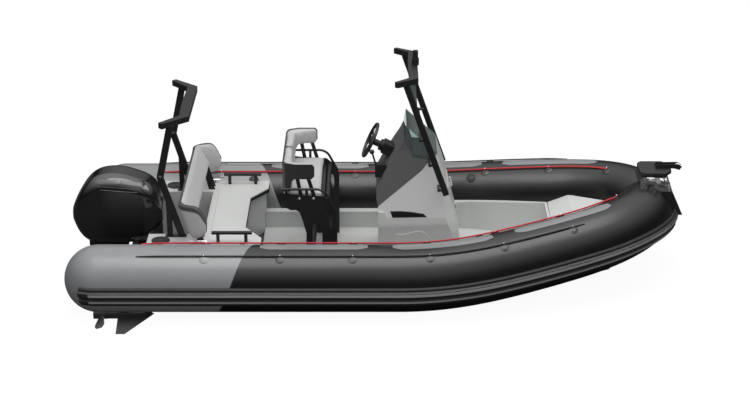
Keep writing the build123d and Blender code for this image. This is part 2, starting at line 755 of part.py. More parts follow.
# ------------------------------------------------------------------ bow fittings
step_low = 915.0               # underside of the bow step
step_thickness = 28.0
nose_top_half = 130.0
nose_foot_half = 205.0
with BuildPart() as bow_nose:
    with BuildSketch(Plane.YZ.offset(2375)):
        with BuildLine():
            Polyline((nose_top_half, step_low - fit), (nose_foot_half, 790), (nose_foot_half, 700),
                     (-nose_foot_half, 700), (-nose_foot_half, 790), (-nose_top_half, step_low - fit), close=True)
        make_face()
    extrude(amount=285)
    with BuildSketch(Plane.XZ.offset(-150)):
        with BuildLine():
            Polyline((2450, 790), (2450, 850), (2640, 850), (2668, 765), (2772, 540), (2700, 540), close=True)
        make_face()
    extrude(amount=300)
    with BuildSketch(Plane.XZ.offset(-nose_foot_half)):
        with BuildLine():
            Polyline((2300, 500), (2300, 820), (2420, step_low), (2618, step_low), (2668, 765), (2772, 540), (2772, 500),
                     close=True)
        make_face()
    extrude(amount=2 * nose_foot_half, mode=Mode.INTERSECT)
    add(collar_keepout.part, mode=Mode.SUBTRACT)
    add(port_strake.part, mode=Mode.SUBTRACT)
    add(starboard_strake.part, mode=Mode.SUBTRACT)
save(bow_nose.part, "bow_nose")

with BuildPart() as bow_step:
    with BuildSketch(Plane.XY.offset(step_low)):
        with BuildLine():
            Polyline(*both_sides([(2375, 110), (2410, 155), (2600, 155), (2660, 75)]), close=True)
        make_face()
    extrude(amount=step_thickness)
save(bow_step.part, "bow_step")

roller_deck = step_low + step_thickness + 0.3
with BuildPart() as anchor_roller:
    for side in (1, -1):
        add(side_plate([(2520, roller_deck), (2530, roller_deck + 36), (2725, roller_deck + 40),
                        (2760, roller_deck + 18), (2740, roller_deck - 14), (2690, roller_deck)],
                       side * 30 - 4, 8))
    with Locations(Location((2728, 0, roller_deck + 12), (90, 0, 0))):
        Cylinder(20, 56)
    with Locations((2600, 0, roller_deck + 4)):
        Box(160, 60, 8)
save(anchor_roller.part, "anchor_roller")

with BuildPart() as bow_cleats:
    for side in (1, -1):
        for x in (2465, 2585):
            with Locations(Location((x, side * 190, 880), (90, 0, 0))):
                Cylinder(11, 90)
            with Locations((x, side * 226, 880)):
                Box(82, 18, 22)
    add(bow_nose.part, mode=Mode.SUBTRACT)
save(bow_cleats.part, "bow_cleats")

with BuildPart() as bow_eye:
    with Locations(Location((2345, 0, 162), (90, 0, 0))):
        Cylinder(34, 14)
        Cylinder(18, 20, mode=Mode.SUBTRACT)
    add(hull.part, mode=Mode.SUBTRACT)
save(bow_eye.part, "bow_eye")

stern_eye_x = transom_x - 22
stern_eye_y = 420.0
with BuildPart() as stern_eyes:
    for side in (1, -1):
        with Locations((stern_eye_x, side * stern_eye_y, 40)):
            Cylinder(30, 14)
            Cylinder(14, 20, mode=Mode.SUBTRACT)
    add(hull.part, mode=Mode.SUBTRACT)
save(stern_eyes.part, "stern_eyes")

# ------------------------------------------------------------------ outboard motor
tilt_x = -2200.0
tilt_z = 170.0
steer_x = -2290.0
prop_z = -520.0
prop_x = -2555.0
yoke_top = 190.0               # underside of the upper steering yoke
yoke_bottom = -140.0           # top of the lower one
pin_radius = 15.0
running = 0.05                 # radial clearance of a shaft in its bearing

with BuildPart() as clamp_bracket:
    for side in (1, -1):
        add(side_plate([(transom_x - 0.3, -160), (transom_x - 0.3, 121), (-2098, 121), (-2098, 75), (-2085, 75),
                        (-2085, 160), (-2150, 205), (-2215, 205), (-2235, 170), (-2230, 100), (-2200, -160)],
                       side * 120 - 12, 24))
    with Locations(Location((tilt_x, 0, tilt_z), (90, 0, 0))):
        Cylinder(16, 264)
save(clamp_bracket.part, "clamp_bracket")

with BuildPart() as swivel_bracket:
    with Locations(Location((tilt_x, 0, tilt_z), (90, 0, 0))):
        Cylinder(32, 200)
        Cylinder(16.5, 300, mode=Mode.SUBTRACT)
    with Locations((steer_x, 0, (yoke_top + yoke_bottom) / 2)):
        Cylinder(36, yoke_top - yoke_bottom - 2 * swing)
    with Locations(((steer_x + tilt_x) / 2 - 5, 0, 130)):
        Box(90, 60, 70)
    with Locations((steer_x + 45, 0, 20)):
        Box(30, 40, 200)
    with Locations(Location((tilt_x, 0, tilt_z), (90, 0, 0))):
        Cylinder(16.5, 300, mode=Mode.SUBTRACT)
    with Locations((steer_x, 0, (yoke_top + yoke_bottom) / 2)):
        Cylinder(pin_radius + running, 500, mode=Mode.SUBTRACT)
save(swivel_bracket.part, "swivel_bracket")

with BuildPart() as engine_midsection:
    with BuildSketch(Plane.XY.offset(-320 + 0.3)):
        with Locations((-2440, 0)):
            Ellipse(105, 52)
    with BuildSketch(Plane.XY.offset(230)):
        with Locations((-2450, 0)):
            Ellipse(105, 75)
    loft()
    with BuildSketch(Plane.XY.offset(230)):
        with Locations((-2460, 0)):
            RectangleRounded(280, 300, 60)
    extrude(amount=60)
    with Locations((steer_x - 30, 0, yoke_top + 20), (steer_x - 30, 0, yoke_bottom - 20)):
        Box(130, 90, 40)
    with Locations((steer_x, 0, (yoke_top + yoke_bottom) / 2)):
        Cylinder(pin_radius, yoke_top - yoke_bottom)
save(engine_midsection.part, "engine_midsection")

bullet_radius = 46.0
shaft_radius = 14.0
shaft_end_x = -2436.0
with BuildPart() as gearcase:
    with BuildSketch(Plane.XZ.offset(-6)):
        with BuildLine():
            Polyline((-2060, -520), (-2345, -730), (-2430, -730), (-2400, -560), (-2400, -396), (-2230, -396),
                     close=True)
        make_face()
    extrude(amount=12)
    with Locations(Location((-2312, 0, prop_z), (0, 90, 0))):
        Cylinder(bullet_radius, 344)
    with BuildSketch(Plane(origin=(-2140, 0, prop_z), x_dir=(0, 1, 0), z_dir=(1, 0, 0))):
        Circle(bullet_radius)
    with BuildSketch(Plane(origin=(-2075, 0, prop_z), x_dir=(0, 1, 0), z_dir=(1, 0, 0))):
        Circle(12)
    loft()
    with BuildSketch(Plane.XY.offset(-335)):
        with Locations((-2450, 0)):
            RectangleRounded(400, 190, 60)
    extrude(amount=15)
    with BuildSketch(Plane.XY.offset(prop_z)):
        with Locations((-2320, 0)):
            Ellipse(140, 36)
    with BuildSketch(Plane.XY.offset(-335)):
        with Locations((-2380, 0)):
            Ellipse(120, 48)
    loft()
    with BuildSketch(Plane(origin=(-2500, 0, prop_z), x_dir=(0, 1, 0), z_dir=(1, 0, 0))):
        Circle(shaft_radius + running)
    extrude(amount=shaft_end_x + 2500 + 6, mode=Mode.SUBTRACT)
save(gearcase.part, "gearcase")

blade_rows = [(40, 42, 11, 58), (85, 60, 9, 44), (130, 58, 6, 34), (162, 30, 3, 28)]
with BuildPart() as propeller:
    with Locations(Location((prop_x, 0, prop_z), (0, 90, 0))):
        Cylinder(bullet_radius + 2, 130)
    with BuildSketch(Plane(origin=(prop_x, 0, prop_z), x_dir=(0, 1, 0), z_dir=(1, 0, 0))):
        Circle(shaft_radius)
    extrude(amount=shaft_end_x - prop_x)
    for angle in (90, 210, 330):
        outward = Vector(0, math.cos(math.radians(angle)), math.sin(math.radians(angle)))
        for reach, half_chord, half_thick, pitch in blade_rows:
            with BuildSketch(Plane(origin=Vector(prop_x, 0, prop_z) + outward * reach, x_dir=(1, 0, 0), z_dir=outward)):
                with Locations(Location((0, 0, 0), (0, 0, pitch))):
                    Ellipse(half_chord, half_thick)
        loft()
save(propeller.part, "propeller")

# cowl sections: x, lowest z, highest z, half-width, corner radius
cowl_rows = [
    (-2728, 470, 590, 120, 45),
    (-2690, 380, 680, 160, 85),
    (-2620, 290, 792, 188, 110),
    (-2530, 250, 880, 203, 125),
    (-2400, 235, 920, 212, 130),
    (-2260, 235, 912, 213, 130),
    (-2130, 260, 872, 208, 125),
    (-2020, 330, 815, 192, 110),
    (-1955, 400, 720, 168, 90),
    (-1918, 470, 620, 130, 55),
]
# side view of the seam between the cowl and the tray
cowl_seam = [(-2800, 590), (-2699, 512), (-2599, 430), (-2506, 362), (-2439, 340), (-2333, 340), (-2191, 352),
             (-2014, 422), (-1907, 463), (-1850, 485)]
cowl_skin = 12.0
tray_low = 290.3
block_low = 368.0              # underside of the powerhead


def cowl_body(rows, shrink=0.0):
    """Rounded body lofted through sections across the engine."""
    with BuildPart() as made:
        for x, low, high, half, corner in rows:
            with BuildSketch(Plane(origin=(x, 0, (low + high) / 2), x_dir=(0, 1, 0), z_dir=(1, 0, 0))):
                RectangleRounded(2 * (half - shrink), high - low - 2 * shrink, corner - shrink)
        loft()
    return made.part


def seam_side(points, shift):
    """Slab on one side of the cowl seam, moved by shift in height."""
    with BuildPart() as made:
        with BuildSketch(Plane.XZ.offset(-400)):
            with BuildLine():
                Polyline(*[(x, z + shift) for x, z in cowl_seam], *points, close=True)
            make_face()
        extrude(amount=800)
    return made.part


cowl_outer = cowl_body(cowl_rows)
with BuildPart() as cowl:
    add(cowl_outer)
    add(cowl_body([cowl_rows[1]] + cowl_rows[2:-2] + [cowl_rows[-2]], 1.6 * cowl_skin), mode=Mode.SUBTRACT)
    add(seam_side([(-1850, 1000), (-2800, 1000)], fit), mode=Mode.INTERSECT)
save(cowl.part, "cowl")

with BuildPart() as engine_tray:
    add(cowl_outer)
    add(seam_side([(-1850, tray_low), (-2800, tray_low)], -fit), mode=Mode.INTERSECT)
    with Locations((-2335, 0, block_low - 0.3)):
        Box(290, 250, 60, align=(Align.CENTER, Align.CENTER, Align.MAX))
save(engine_tray.part, "engine_tray")

with BuildPart() as powerhead:
    with Locations((-2335, 0, block_low)):
        Box(320, 300, 390, align=(Align.CENTER, Align.CENTER, Align.MIN))
    with Locations((-2320, 0, block_low + 390)):
        Cylinder(105, 60, align=(Align.CENTER, Align.CENTER, Align.MIN))
save(powerhead.part, "powerhead")
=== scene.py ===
"""Looks of the rigid inflatable boat, in metres: +X bow, +Y port, +Z up, origin on the waterline."""
import json
import math
import random

import bmesh
import bpy
from mathutils import Matrix, Vector
from mathutils.bvhtree import BVHTree


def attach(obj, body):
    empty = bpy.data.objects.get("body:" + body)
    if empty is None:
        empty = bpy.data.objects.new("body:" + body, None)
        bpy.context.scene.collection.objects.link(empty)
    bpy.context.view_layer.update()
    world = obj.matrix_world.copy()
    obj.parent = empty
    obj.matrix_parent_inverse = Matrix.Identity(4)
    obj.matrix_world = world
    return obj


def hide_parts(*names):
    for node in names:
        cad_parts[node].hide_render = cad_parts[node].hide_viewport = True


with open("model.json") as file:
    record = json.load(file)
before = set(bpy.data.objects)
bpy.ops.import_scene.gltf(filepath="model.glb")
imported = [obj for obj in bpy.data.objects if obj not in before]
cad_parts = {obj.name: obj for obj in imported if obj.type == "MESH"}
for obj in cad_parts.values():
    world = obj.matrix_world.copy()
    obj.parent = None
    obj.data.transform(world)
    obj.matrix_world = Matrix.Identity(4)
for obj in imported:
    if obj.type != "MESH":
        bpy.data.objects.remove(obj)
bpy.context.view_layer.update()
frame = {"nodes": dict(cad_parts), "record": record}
nodes = frame["nodes"]
scene = bpy.context.scene
random.seed(7)

# ------------------------------------------------------------------ camera, light, stage
CAMERA_PLACE = (0.0, -15.185, 6.814)
CAMERA_DOWN = 22.43            # degrees below the horizon
CAMERA_LENS = 86.7             # mm on a 36 mm sensor

camera_data = bpy.data.cameras.new("camera")
camera_data.lens = CAMERA_LENS
camera = bpy.data.objects.new("camera", camera_data)
scene.collection.objects.link(camera)
camera.location = CAMERA_PLACE
camera.rotation_euler = (math.radians(90.0 - CAMERA_DOWN), 0.0, 0.0)
scene.camera = camera
scene.view_settings.view_transform = "Standard"


def node_tree(material):
    material.use_nodes = True
    tree = material.node_tree
    tree.nodes.clear()
    return tree


def link(tree, source, target):
    tree.links.new(source, target)


SOFT_LIGHT = ((0.0, 0.08), (0.10, 0.10), (0.45, 0.30), (1.0, 0.92))        # height of the direction, level
REFLECTED_LIGHT = ((0.0, 0.0), (0.14, 0.0), (0.37, 0.14), (0.66, 0.55), (1.0, 1.0))


def build_world():
    """Soft grey-white surroundings that read as plain white to the camera and through glass."""
    world = bpy.data.worlds.new("studio")
    scene.world = world
    world.use_nodes = True
    tree = world.node_tree
    tree.nodes.clear()
    output = tree.nodes.new("ShaderNodeOutputWorld")
    mix = tree.nodes.new("ShaderNodeMixShader")
    path = tree.nodes.new("ShaderNodeLightPath")
    seen = tree.nodes.new("ShaderNodeMath")
    seen.operation = "MAXIMUM"
    link(tree, path.outputs["Is Camera Ray"], seen.inputs[0])
    link(tree, path.outputs["Is Transmission Ray"], seen.inputs[1])
    dim = tree.nodes.new("ShaderNodeBackground")
    bright = tree.nodes.new("ShaderNodeBackground")
    bright.inputs["Color"].default_value = (1, 1, 1, 1)
    bright.inputs["Strength"].default_value = 1.0
    # brighter overhead, darker at and below the horizon; soft light wraps further round than reflections do
    geometry = tree.nodes.new("ShaderNodeTexCoord")
    split = tree.nodes.new("ShaderNodeSeparateXYZ")
    link(tree, geometry.outputs["Generated"], split.inputs[0])
    soft = tree.nodes.new("ShaderNodeBackground")
    for background, levels in ((soft, SOFT_LIGHT), (dim, REFLECTED_LIGHT)):
        ramp = tree.nodes.new("ShaderNodeValToRGB")
        steps = ramp.color_ramp.elements
        for place, level in levels[1:-1]:
            steps.new(place)
        for step, (place, level) in zip(steps, levels):
            step.position = place
            step.color = (level, level, level, 1)
        link(tree, split.outputs["Z"], ramp.inputs[0])
        link(tree, ramp.outputs[0], background.inputs["Color"])
    soft.inputs["Strength"].default_value = 0.62
    dim.inputs["Strength"].default_value = 1.9
    surround = tree.nodes.new("ShaderNodeMixShader")
    link(tree, path.outputs["Is Diffuse Ray"], surround.inputs[0])
    link(tree, dim.outputs[0], surround.inputs[1])
    link(tree, soft.outputs[0], surround.inputs[2])
    link(tree, seen.outputs[0], mix.inputs[0])
    link(tree, surround.outputs[0], mix.inputs[1])
    link(tree, bright.outputs[0], mix.inputs[2])
    link(tree, mix.outputs[0], output.inputs[0])


def lamp(name, place, target, size, power, shiny=True):
    data = bpy.data.lights.new(name, "AREA")
    data.shape = "RECTANGLE"
    data.size = size[0]
    data.size_y = size[1]
    data.energy = power
    made = bpy.data.objects.new(name, data)
    scene.collection.objects.link(made)
    made.location = place
    made.visible_glossy = shiny
    aim = Vector(target) - Vector(place)
    made.rotation_euler = aim.to_track_quat("-Z", "Y").to_euler()
    return made


def build_floor():
    """Pale floor at the waterline.  It keeps the shadow but lets the camera see what lies below it."""
    mesh = bpy.data.meshes.new("floor")
    reach = 40.0
    mesh.from_pydata([(-reach, -reach, 0), (reach, -reach, 0), (reach, reach, 0), (-reach, reach, 0)],
                     [], [(0, 1, 2, 3)])
    floor = bpy.data.objects.new("floor", mesh)
    scene.collection.objects.link(floor)
    material = bpy.data.materials.new("floor")
    tree = node_tree(material)
    output = tree.nodes.new("ShaderNodeOutputMaterial")
    clear = tree.nodes.new("ShaderNodeBsdfTransparent")
    matt = tree.nodes.new("ShaderNodeBsdfDiffuse")
    matt.inputs["Color"].default_value = (0.95, 0.95, 0.95, 1)
    mix = tree.nodes.new("ShaderNodeMixShader")
    mix.inputs[0].default_value = 0.05
    link(tree, clear.outputs[0], mix.inputs[1])
    link(tree, matt.outputs[0], mix.inputs[2])
    link(tree, mix.outputs[0], output.inputs[0])
    mesh.materials.append(material)


build_world()
build_floor()
lamp("overhead", (0.5, -1.5, 7.5), (0, 0, 0.3), (9.0, 5.0), 470)
lamp("front_fill", (1.0, -9.0, 4.5), (0, 0, 0.4), (6.0, 3.0), 8)
# low light from the front: the collar keeps it off the deck walls
lamp("low_front", (0.0, -14.0, 2.0), (0, 0, 0.9), (7.0, 1.2), 330, shiny=False)


# ------------------------------------------------------------------ materials
def principled(tree):
    shader = tree.nodes.new("ShaderNodeBsdfPrincipled")
    output = tree.nodes.new("ShaderNodeOutputMaterial")
    link(tree, shader.outputs[0], output.inputs[0])
    return shader


def place_in(tree):
    """Position in the boat's frame, for patterns that stay put in any view."""
    return tree.nodes.new("ShaderNodeTexCoord").outputs["Object"]


def noise(tree, scale, detail=4.0, roughness=0.55):
    made = tree.nodes.new("ShaderNodeTexNoise")
    made.inputs["Scale"].default_value = scale
    made.inputs["Detail"].default_value = detail
    made.inputs["Roughness"].default_value = roughness
    link(tree, place_in(tree), made.inputs["Vector"])
    return made.outputs["Fac"]


def spread(tree, value, low, high):
    """Maps 0..1 to low..high."""
    made = tree.nodes.new("ShaderNodeMapRange")
    made.inputs["To Min"].default_value = low
    made.inputs["To Max"].default_value = high
    link(tree, value, made.inputs["Value"])
    return made.outputs[0]


def tint(tree, value, dark, light):
    made = tree.nodes.new("ShaderNodeMix")
    made.data_type = "RGBA"
    made.inputs["A"].default_value = (*dark, 1)
    made.inputs["B"].default_value = (*light, 1)
    link(tree, value, made.inputs["Factor"])
    return made.outputs["Result"]


def bump(tree, height, strength, distance, below=None):
    made = tree.nodes.new("ShaderNodeBump")
    made.inputs["Strength"].default_value = strength
    made.inputs["Distance"].default_value = distance
    link(tree, height, made.inputs["Height"])
    if below is not None:
        link(tree, below, made.inputs["Normal"])
    return made.outputs[0]


def shade(colour, factor):
    return tuple(min(1.0, channel * factor) for channel in colour)


def moulded(name, colour, rough, grain=900.0, grain_depth=0.0002, variation=0.06, metallic=0.0,
            coat=0.0, cloudy=3.0):
    """Painted, moulded or gelcoated surface: slow colour drift, fine grain and uneven gloss."""
    material = bpy.data.materials.new(name)
    tree = node_tree(material)
    shader = principled(tree)
    drift = noise(tree, cloudy)
    fine = noise(tree, grain, 2.0)
    link(tree, tint(tree, drift, shade(colour, 1 - variation), shade(colour, 1 + variation)),
         shader.inputs["Base Color"])
    link(tree, spread(tree, noise(tree, cloudy * 7), rough * 0.85, min(1.0, rough * 1.15)),
         shader.inputs["Roughness"])
    shader.inputs["Metallic"].default_value = metallic
    if coat:
        shader.inputs["Coat Weight"].default_value = coat
        shader.inputs["Coat Roughness"].default_value = 0.08
    link(tree, bump(tree, fine, 0.25, grain_depth), shader.inputs["Normal"])
    return material


def coated_fabric(name, colour, weave=700.0):
    """Coated collar fabric: a faint woven grain under a satin coat."""
    material = bpy.data.materials.new(name)
    tree = node_tree(material)
    shader = principled(tree)
    fabric_nodes(tree, shader, weave)
    link(tree, tint(tree, noise(tree, 2.2), shade(colour, 0.93), shade(colour, 1.07)),
         shader.inputs["Base Color"])
    return material


def fabric_nodes(tree, shader, weave):
    for offset, direction in enumerate(("X", "Z")):
        wave = tree.nodes.new("ShaderNodeTexWave")
        wave.bands_direction = direction
        wave.inputs["Scale"].default_value = weave
        wave.inputs["Distortion"].default_value = 0.6
        link(tree, place_in(tree), wave.inputs["Vector"])
        below = None if offset == 0 else normal
        normal = bump(tree, wave.outputs["Fac"], 0.10, 0.0003, below)
    normal = bump(tree, noise(tree, 9.0, 3.0), 0.12, 0.004, normal)
    link(tree, normal, shader.inputs["Normal"])
    link(tree, spread(tree, noise(tree, 14.0), 0.26, 0.34), shader.inputs["Roughness"])
    shader.inputs["Specular IOR Level"].default_value = 0.5


COLLAR_DARK = (0.006, 0.006, 0.0061)
COLLAR_GREY = (0.225, 0.230, 0.234)
TUBE_Y = 0.9775
TUBE_Z = 0.2925
TUBE_R = 0.2925
# the colour seam winds round the tube: its x on top, and how far aft it moves per radian outboard
SEAM_TOP_X = -1.077
SEAM_TWIST = 0.110


def math_node(tree, operation, first, second=None, third=None):
    made = tree.nodes.new("ShaderNodeMath")
    made.operation = operation
    for socket, value in enumerate((first, second, third)):
        if value is None:
            continue
        if isinstance(value, (int, float)):
            made.inputs[socket].default_value = value
        else:
            link(tree, value, made.inputs[socket])
    return made.outputs[0]


def two_tone_collar(name, side):
    """Collar fabric, grey aft and anthracite forward of a seam that winds round the tube."""
    material = bpy.data.materials.new(name)
    tree = node_tree(material)
    shader = principled(tree)
    split = tree.nodes.new("ShaderNodeSeparateXYZ")
    link(tree, place_in(tree), split.inputs[0])
    from_axis = math_node(tree, "SUBTRACT", split.outputs["Y"], side * TUBE_Y)
    outboard = math_node(tree, "MULTIPLY", from_axis, side)
    height = math_node(tree, "SUBTRACT", split.outputs["Z"], TUBE_Z)
    around = math_node(tree, "ARCTAN2", outboard, height)
    seam = math_node(tree, "MULTIPLY_ADD", around, -SEAM_TWIST, SEAM_TOP_X)
    ahead = math_node(tree, "SUBTRACT", split.outputs["X"], seam)
    share = tree.nodes.new("ShaderNodeMapRange")
    share.inputs["From Min"].default_value = -0.0015
    share.inputs["From Max"].default_value = 0.0015
    link(tree, ahead, share.inputs["Value"])
    drift = noise(tree, 2.2)
    grey = tint(tree, drift, shade(COLLAR_GREY, 0.94), shade(COLLAR_GREY, 1.06))
    dark = tint(tree, drift, shade(COLLAR_DARK, 0.92), shade(COLLAR_DARK, 1.08))
    mix = tree.nodes.new("ShaderNodeMix")
    mix.data_type = "RGBA"
    link(tree, share.outputs[0], mix.inputs["Factor"])
    link(tree, grey, mix.inputs["A"])
    link(tree, dark, mix.inputs["B"])
    link(tree, mix.outputs["Result"], shader.inputs["Base Color"])
    fabric_nodes(tree, shader, 700.0)
    return material


def vinyl(name, colour):
    """Marine vinyl: pebbled leather grain, soft sheen."""
    material = bpy.data.materials.new(name)
    tree = node_tree(material)
    shader = principled(tree)
    cells = tree.nodes.new("ShaderNodeTexVoronoi")
    cells.inputs["Scale"].default_value = 420.0
    link(tree, place_in(tree), cells.inputs["Vector"])
    normal = bump(tree, cells.outputs["Distance"], 0.22, 0.0006)
    normal = bump(tree, noise(tree, 30.0), 0.15, 0.002, normal)
    link(tree, normal, shader.inputs["Normal"])
    link(tree, tint(tree, noise(tree, 6.0), shade(colour, 0.94), shade(colour, 1.05)),
         shader.inputs["Base Color"])
    link(tree, spread(tree, noise(tree, 40.0), 0.48, 0.62), shader.inputs["Roughness"])
    shader.inputs["Sheen Weight"].default_value = 0.1
    return material


def sheet_glass(name, colour, alpha, rough=0.03):
    """Thin acrylic or glass, tinted, partly see-through."""
    material = bpy.data.materials.new(name)
    tree = node_tree(material)
    output = tree.nodes.new("ShaderNodeOutputMaterial")
    clear = tree.nodes.new("ShaderNodeBsdfTransparent")
    clear.inputs["Color"].default_value = (*colour, 1)
    gloss = tree.nodes.new("ShaderNodeBsdfPrincipled")
    gloss.inputs["Base Color"].default_value = (*shade(colour, 0.25), 1)
    link(tree, spread(tree, noise(tree, 20.0), rough, rough * 2), gloss.inputs["Roughness"])
    gloss.inputs["Specular IOR Level"].default_value = 0.5
    facing = tree.nodes.new("ShaderNodeFresnel")
    facing.inputs["IOR"].default_value = 1.45
    share = math_node(tree, "ADD", facing.outputs[0], alpha)
    share = math_node(tree, "MINIMUM", share, 1.0)
    mix = tree.nodes.new("ShaderNodeMixShader")
    link(tree, share, mix.inputs[0])
    link(tree, clear.outputs[0], mix.inputs[1])
    link(tree, gloss.outputs[0], mix.inputs[2])
    link(tree, mix.outputs[0], output.inputs[0])
    return material


BLACK = (0.010, 0.010, 0.011)
looks = {
    "hull_gelcoat": moulded("hull_gelcoat", (0.012, 0.012, 0.013), 0.28, coat=0.6),
    "deck_gelcoat": moulded("deck_gelcoat", (0.56, 0.57, 0.56), 0.42, variation=0.03, coat=0.2),
    "strake_rubber": moulded("strake_rubber", (0.016, 0.016, 0.017), 0.55, variation=0.12),
    "black_metal": moulded("black_metal", BLACK, 0.42, grain=1400.0, variation=0.15),
    "cushion_light": vinyl("cushion_light", (0.44, 0.44, 0.44)),
    "cushion_dark": vinyl("cushion_dark", (0.022, 0.022, 0.023)),
    "pod_plastic": moulded("pod_plastic", (0.095, 0.096, 0.098), 0.5, grain=1200.0),
    "smoked_screen": sheet_glass("smoked_screen", (0.80, 0.87, 0.855), 0.10),
    "clear_glass": sheet_glass("clear_glass", (0.84, 0.96, 0.955), 0.02),
    "stainless": moulded("stainless", (0.72, 0.72, 0.72), 0.22, metallic=1.0, variation=0.04),
    "engine_gloss": moulded("engine_gloss", (0.008, 0.008, 0.009), 0.16, coat=0.8),
    "engine_metal": moulded("engine_metal", (0.012, 0.012, 0.013), 0.38, variation=0.15),
    "cast_block": moulded("cast_block", (0.09, 0.09, 0.09), 0.6, metallic=0.8),
    "lamp_lens": sheet_glass("lamp_lens", (0.9, 0.9, 0.9), 0.3),
    "black_plastic": moulded("black_plastic", BLACK, 0.5, grain=1500.0, variation=0.15),
    "trim_plate": moulded("trim_plate", (0.22, 0.22, 0.23), 0.35, metallic=0.7),
    "lifeline_red": moulded("lifeline_red", (0.46, 0.018, 0.028), 0.65, grain=500.0, grain_depth=0.001),
    "lifeline_black": moulded("lifeline_black", BLACK, 0.65, grain=500.0, grain_depth=0.001),
    "wear_patch": coated_fabric("wear_patch", (0.200, 0.205, 0.210)),
}
collar_looks = {"port_tube": two_tone_collar("collar_port", 1),
                "starboard_tube": two_tone_collar("collar_starboard", -1)}

node_slot = {row["node"]: row["material_slot"] for row in frame["record"]["subparts"]}
for name, node in nodes.items():
    finish = collar_looks.get(name) or looks[node_slot[name]]
    for place in node.material_slots:
        place.material = finish
    if not node.material_slots:
        node.data.materials.append(finish)


# ------------------------------------------------------------------ building pieces
def put(name, mesh, material, body="boat", crease=35.0):
    """Links a finished mesh as one piece that moves with a body."""
    piece = bpy.data.objects.new(name, mesh)
    scene.collection.objects.link(piece)
    mesh.materials.append(material)
    if crease is not None:
        mesh.shade_smooth()
        mesh.set_sharp_from_angle(angle=math.radians(crease))
    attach(piece, body)
    return piece


def put_bm(name, made, material, body="boat", crease=35.0):
    bmesh.ops.recalc_face_normals(made, faces=made.faces)
    mesh = bpy.data.meshes.new(name)
    made.to_mesh(mesh)
    made.free()
    return put(name, mesh, material, body, crease)


def rounded(made, width, segments=2, angle=30.0):
    """Bevels the sharp edges of a bmesh."""
    sharp = [edge for edge in made.edges
             if len(edge.link_faces) == 2 and edge.calc_face_angle(0.0) > math.radians(angle)]
    bmesh.ops.bevel(made, geom=sharp, offset=width, segments=segments, affect="EDGES", clamp_overlap=True)


def prism(made, outline, low, high, axes="xz"):
    """Adds a closed outline swept between two places on the third axis."""
    def corner(point, place):
        first, second = point
        return {"xz": (first, place, second), "xy": (first, second, place),
                "yz": (place, first, second)}[axes]
    bottom = [made.verts.new(corner(point, low)) for point in outline]
    top = [made.verts.new(corner(point, high)) for point in outline]
    made.faces.new(bottom)
    made.faces.new(top)
    for here in range(len(outline)):
        after = (here + 1) % len(outline)
        made.faces.new((bottom[here], bottom[after], top[after], top[here]))


def turned(made, profile, centre, axis, steps=24):
    """Adds a solid of revolution: profile rows are (distance along the axis, radius)."""
    axis = Vector(axis).normalized()
    side = axis.orthogonal().normalized()
    other = axis.cross(side)
    rings = []
    for along, radius in profile:
        place = Vector(centre) + axis * along
        rings.append([made.verts.new(place + (side * math.cos(turn) + other * math.sin(turn)) * radius)
                      for turn in (2 * math.pi * step / steps for step in range(steps))])
    for lower, upper in zip(rings, rings[1:]):
        for step in range(steps):
            after = (step + 1) % steps
            made.faces.new((lower[step], lower[after], upper[after], upper[step]))
    made.faces.new(rings[0])
    made.faces.new(rings[-1])


def ring(made, centre, axis, radius, wire, steps=20, around=8):
    """Adds a wire ring."""
    axis = Vector(axis).normalized()
    side = axis.orthogonal().normalized()
    other = axis.cross(side)
    rows = []
    for step in range(steps):
        turn = 2 * math.pi * step / steps
        outward = side * math.cos(turn) + other * math.sin(turn)
        rolls = [2 * math.pi * number / around for number in range(around)]
        rows.append([made.verts.new(Vector(centre) + outward * (radius + wire * math.cos(roll))
                                    + axis * wire * math.sin(roll)) for roll in rolls])
    for step in range(steps):
        after = (step + 1) % steps
        for number in range(around):
            beyond = (number + 1) % around
            made.faces.new((rows[step][number], rows[after][number], rows[after][beyond], rows[step][beyond]))


def line_piece(name, points, radius, material, body="boat", cyclic=False, smooth=True):
    """Round bar, pipe, rope or welt along points."""
    data = bpy.data.curves.new(name, "CURVE")
    data.dimensions = "3D"
    data.bevel_depth = radius
    data.bevel_resolution = 4
    data.use_fill_caps = True
    run = data.splines.new("NURBS" if smooth else "POLY")
    run.points.add(len(points) - 1)
    for target, point in zip(run.points, points):
        target.co = (*point, 1)
    if smooth:
        run.order_u = 3
        run.use_endpoint_u = not cyclic
        run.resolution_u = 4
    run.use_cyclic_u = cyclic
    piece = bpy.data.objects.new(name, data)
    scene.collection.objects.link(piece)
    data.materials.append(material)
    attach(piece, body)
    return piece


def surface_of(node):
    mesh = node.data.copy()
    mesh.transform(node.matrix_world)
    made = bmesh.new()
    made.from_mesh(mesh)
    tree = BVHTree.FromBMesh(made)
    made.free()
    return tree


def skin_patch(made, surface, corners, direction, rows, columns, lift, skirt=0.004):
    """Adds a thin panel that follows a surface: a four-sided grid is dropped on it along a direction."""
    direction = Vector(direction).normalized()
    low_left, low_right, high_right, high_left = [Vector(corner) for corner in corners]
    grid = []
    for row in range(rows + 1):
        line = []
        for column in range(columns + 1):
            across, up = column / columns, row / rows
            start = (low_left.lerp(low_right, across)).lerp(high_left.lerp(high_right, across), up)
            place, normal, _, _ = surface.ray_cast(start, direction)
            if place is None:
                place, normal, _, _ = surface.find_nearest(start)
            if normal.dot(direction) > 0:
                normal = -normal
            edge = row in (0, rows) or column in (0, columns)
            line.append(made.verts.new(place + normal * (lift - (skirt if edge else 0.0))))
        grid.append(line)
    for row in range(rows):
        for column in range(columns):
            made.faces.new((grid[row][column], grid[row][column + 1],
                            grid[row + 1][column + 1], grid[row + 1][column]))


# ------------------------------------------------------------------ the collar's centre line
BEND_X = 0.2
AFT_X = -2.39
BEND_POINTS = [(1.0, 0.888, 0.348), (1.8, 0.655, 0.470), (2.2, 0.438, 0.538), (2.455, 0.0, 0.556)]
BOW_R = 0.265


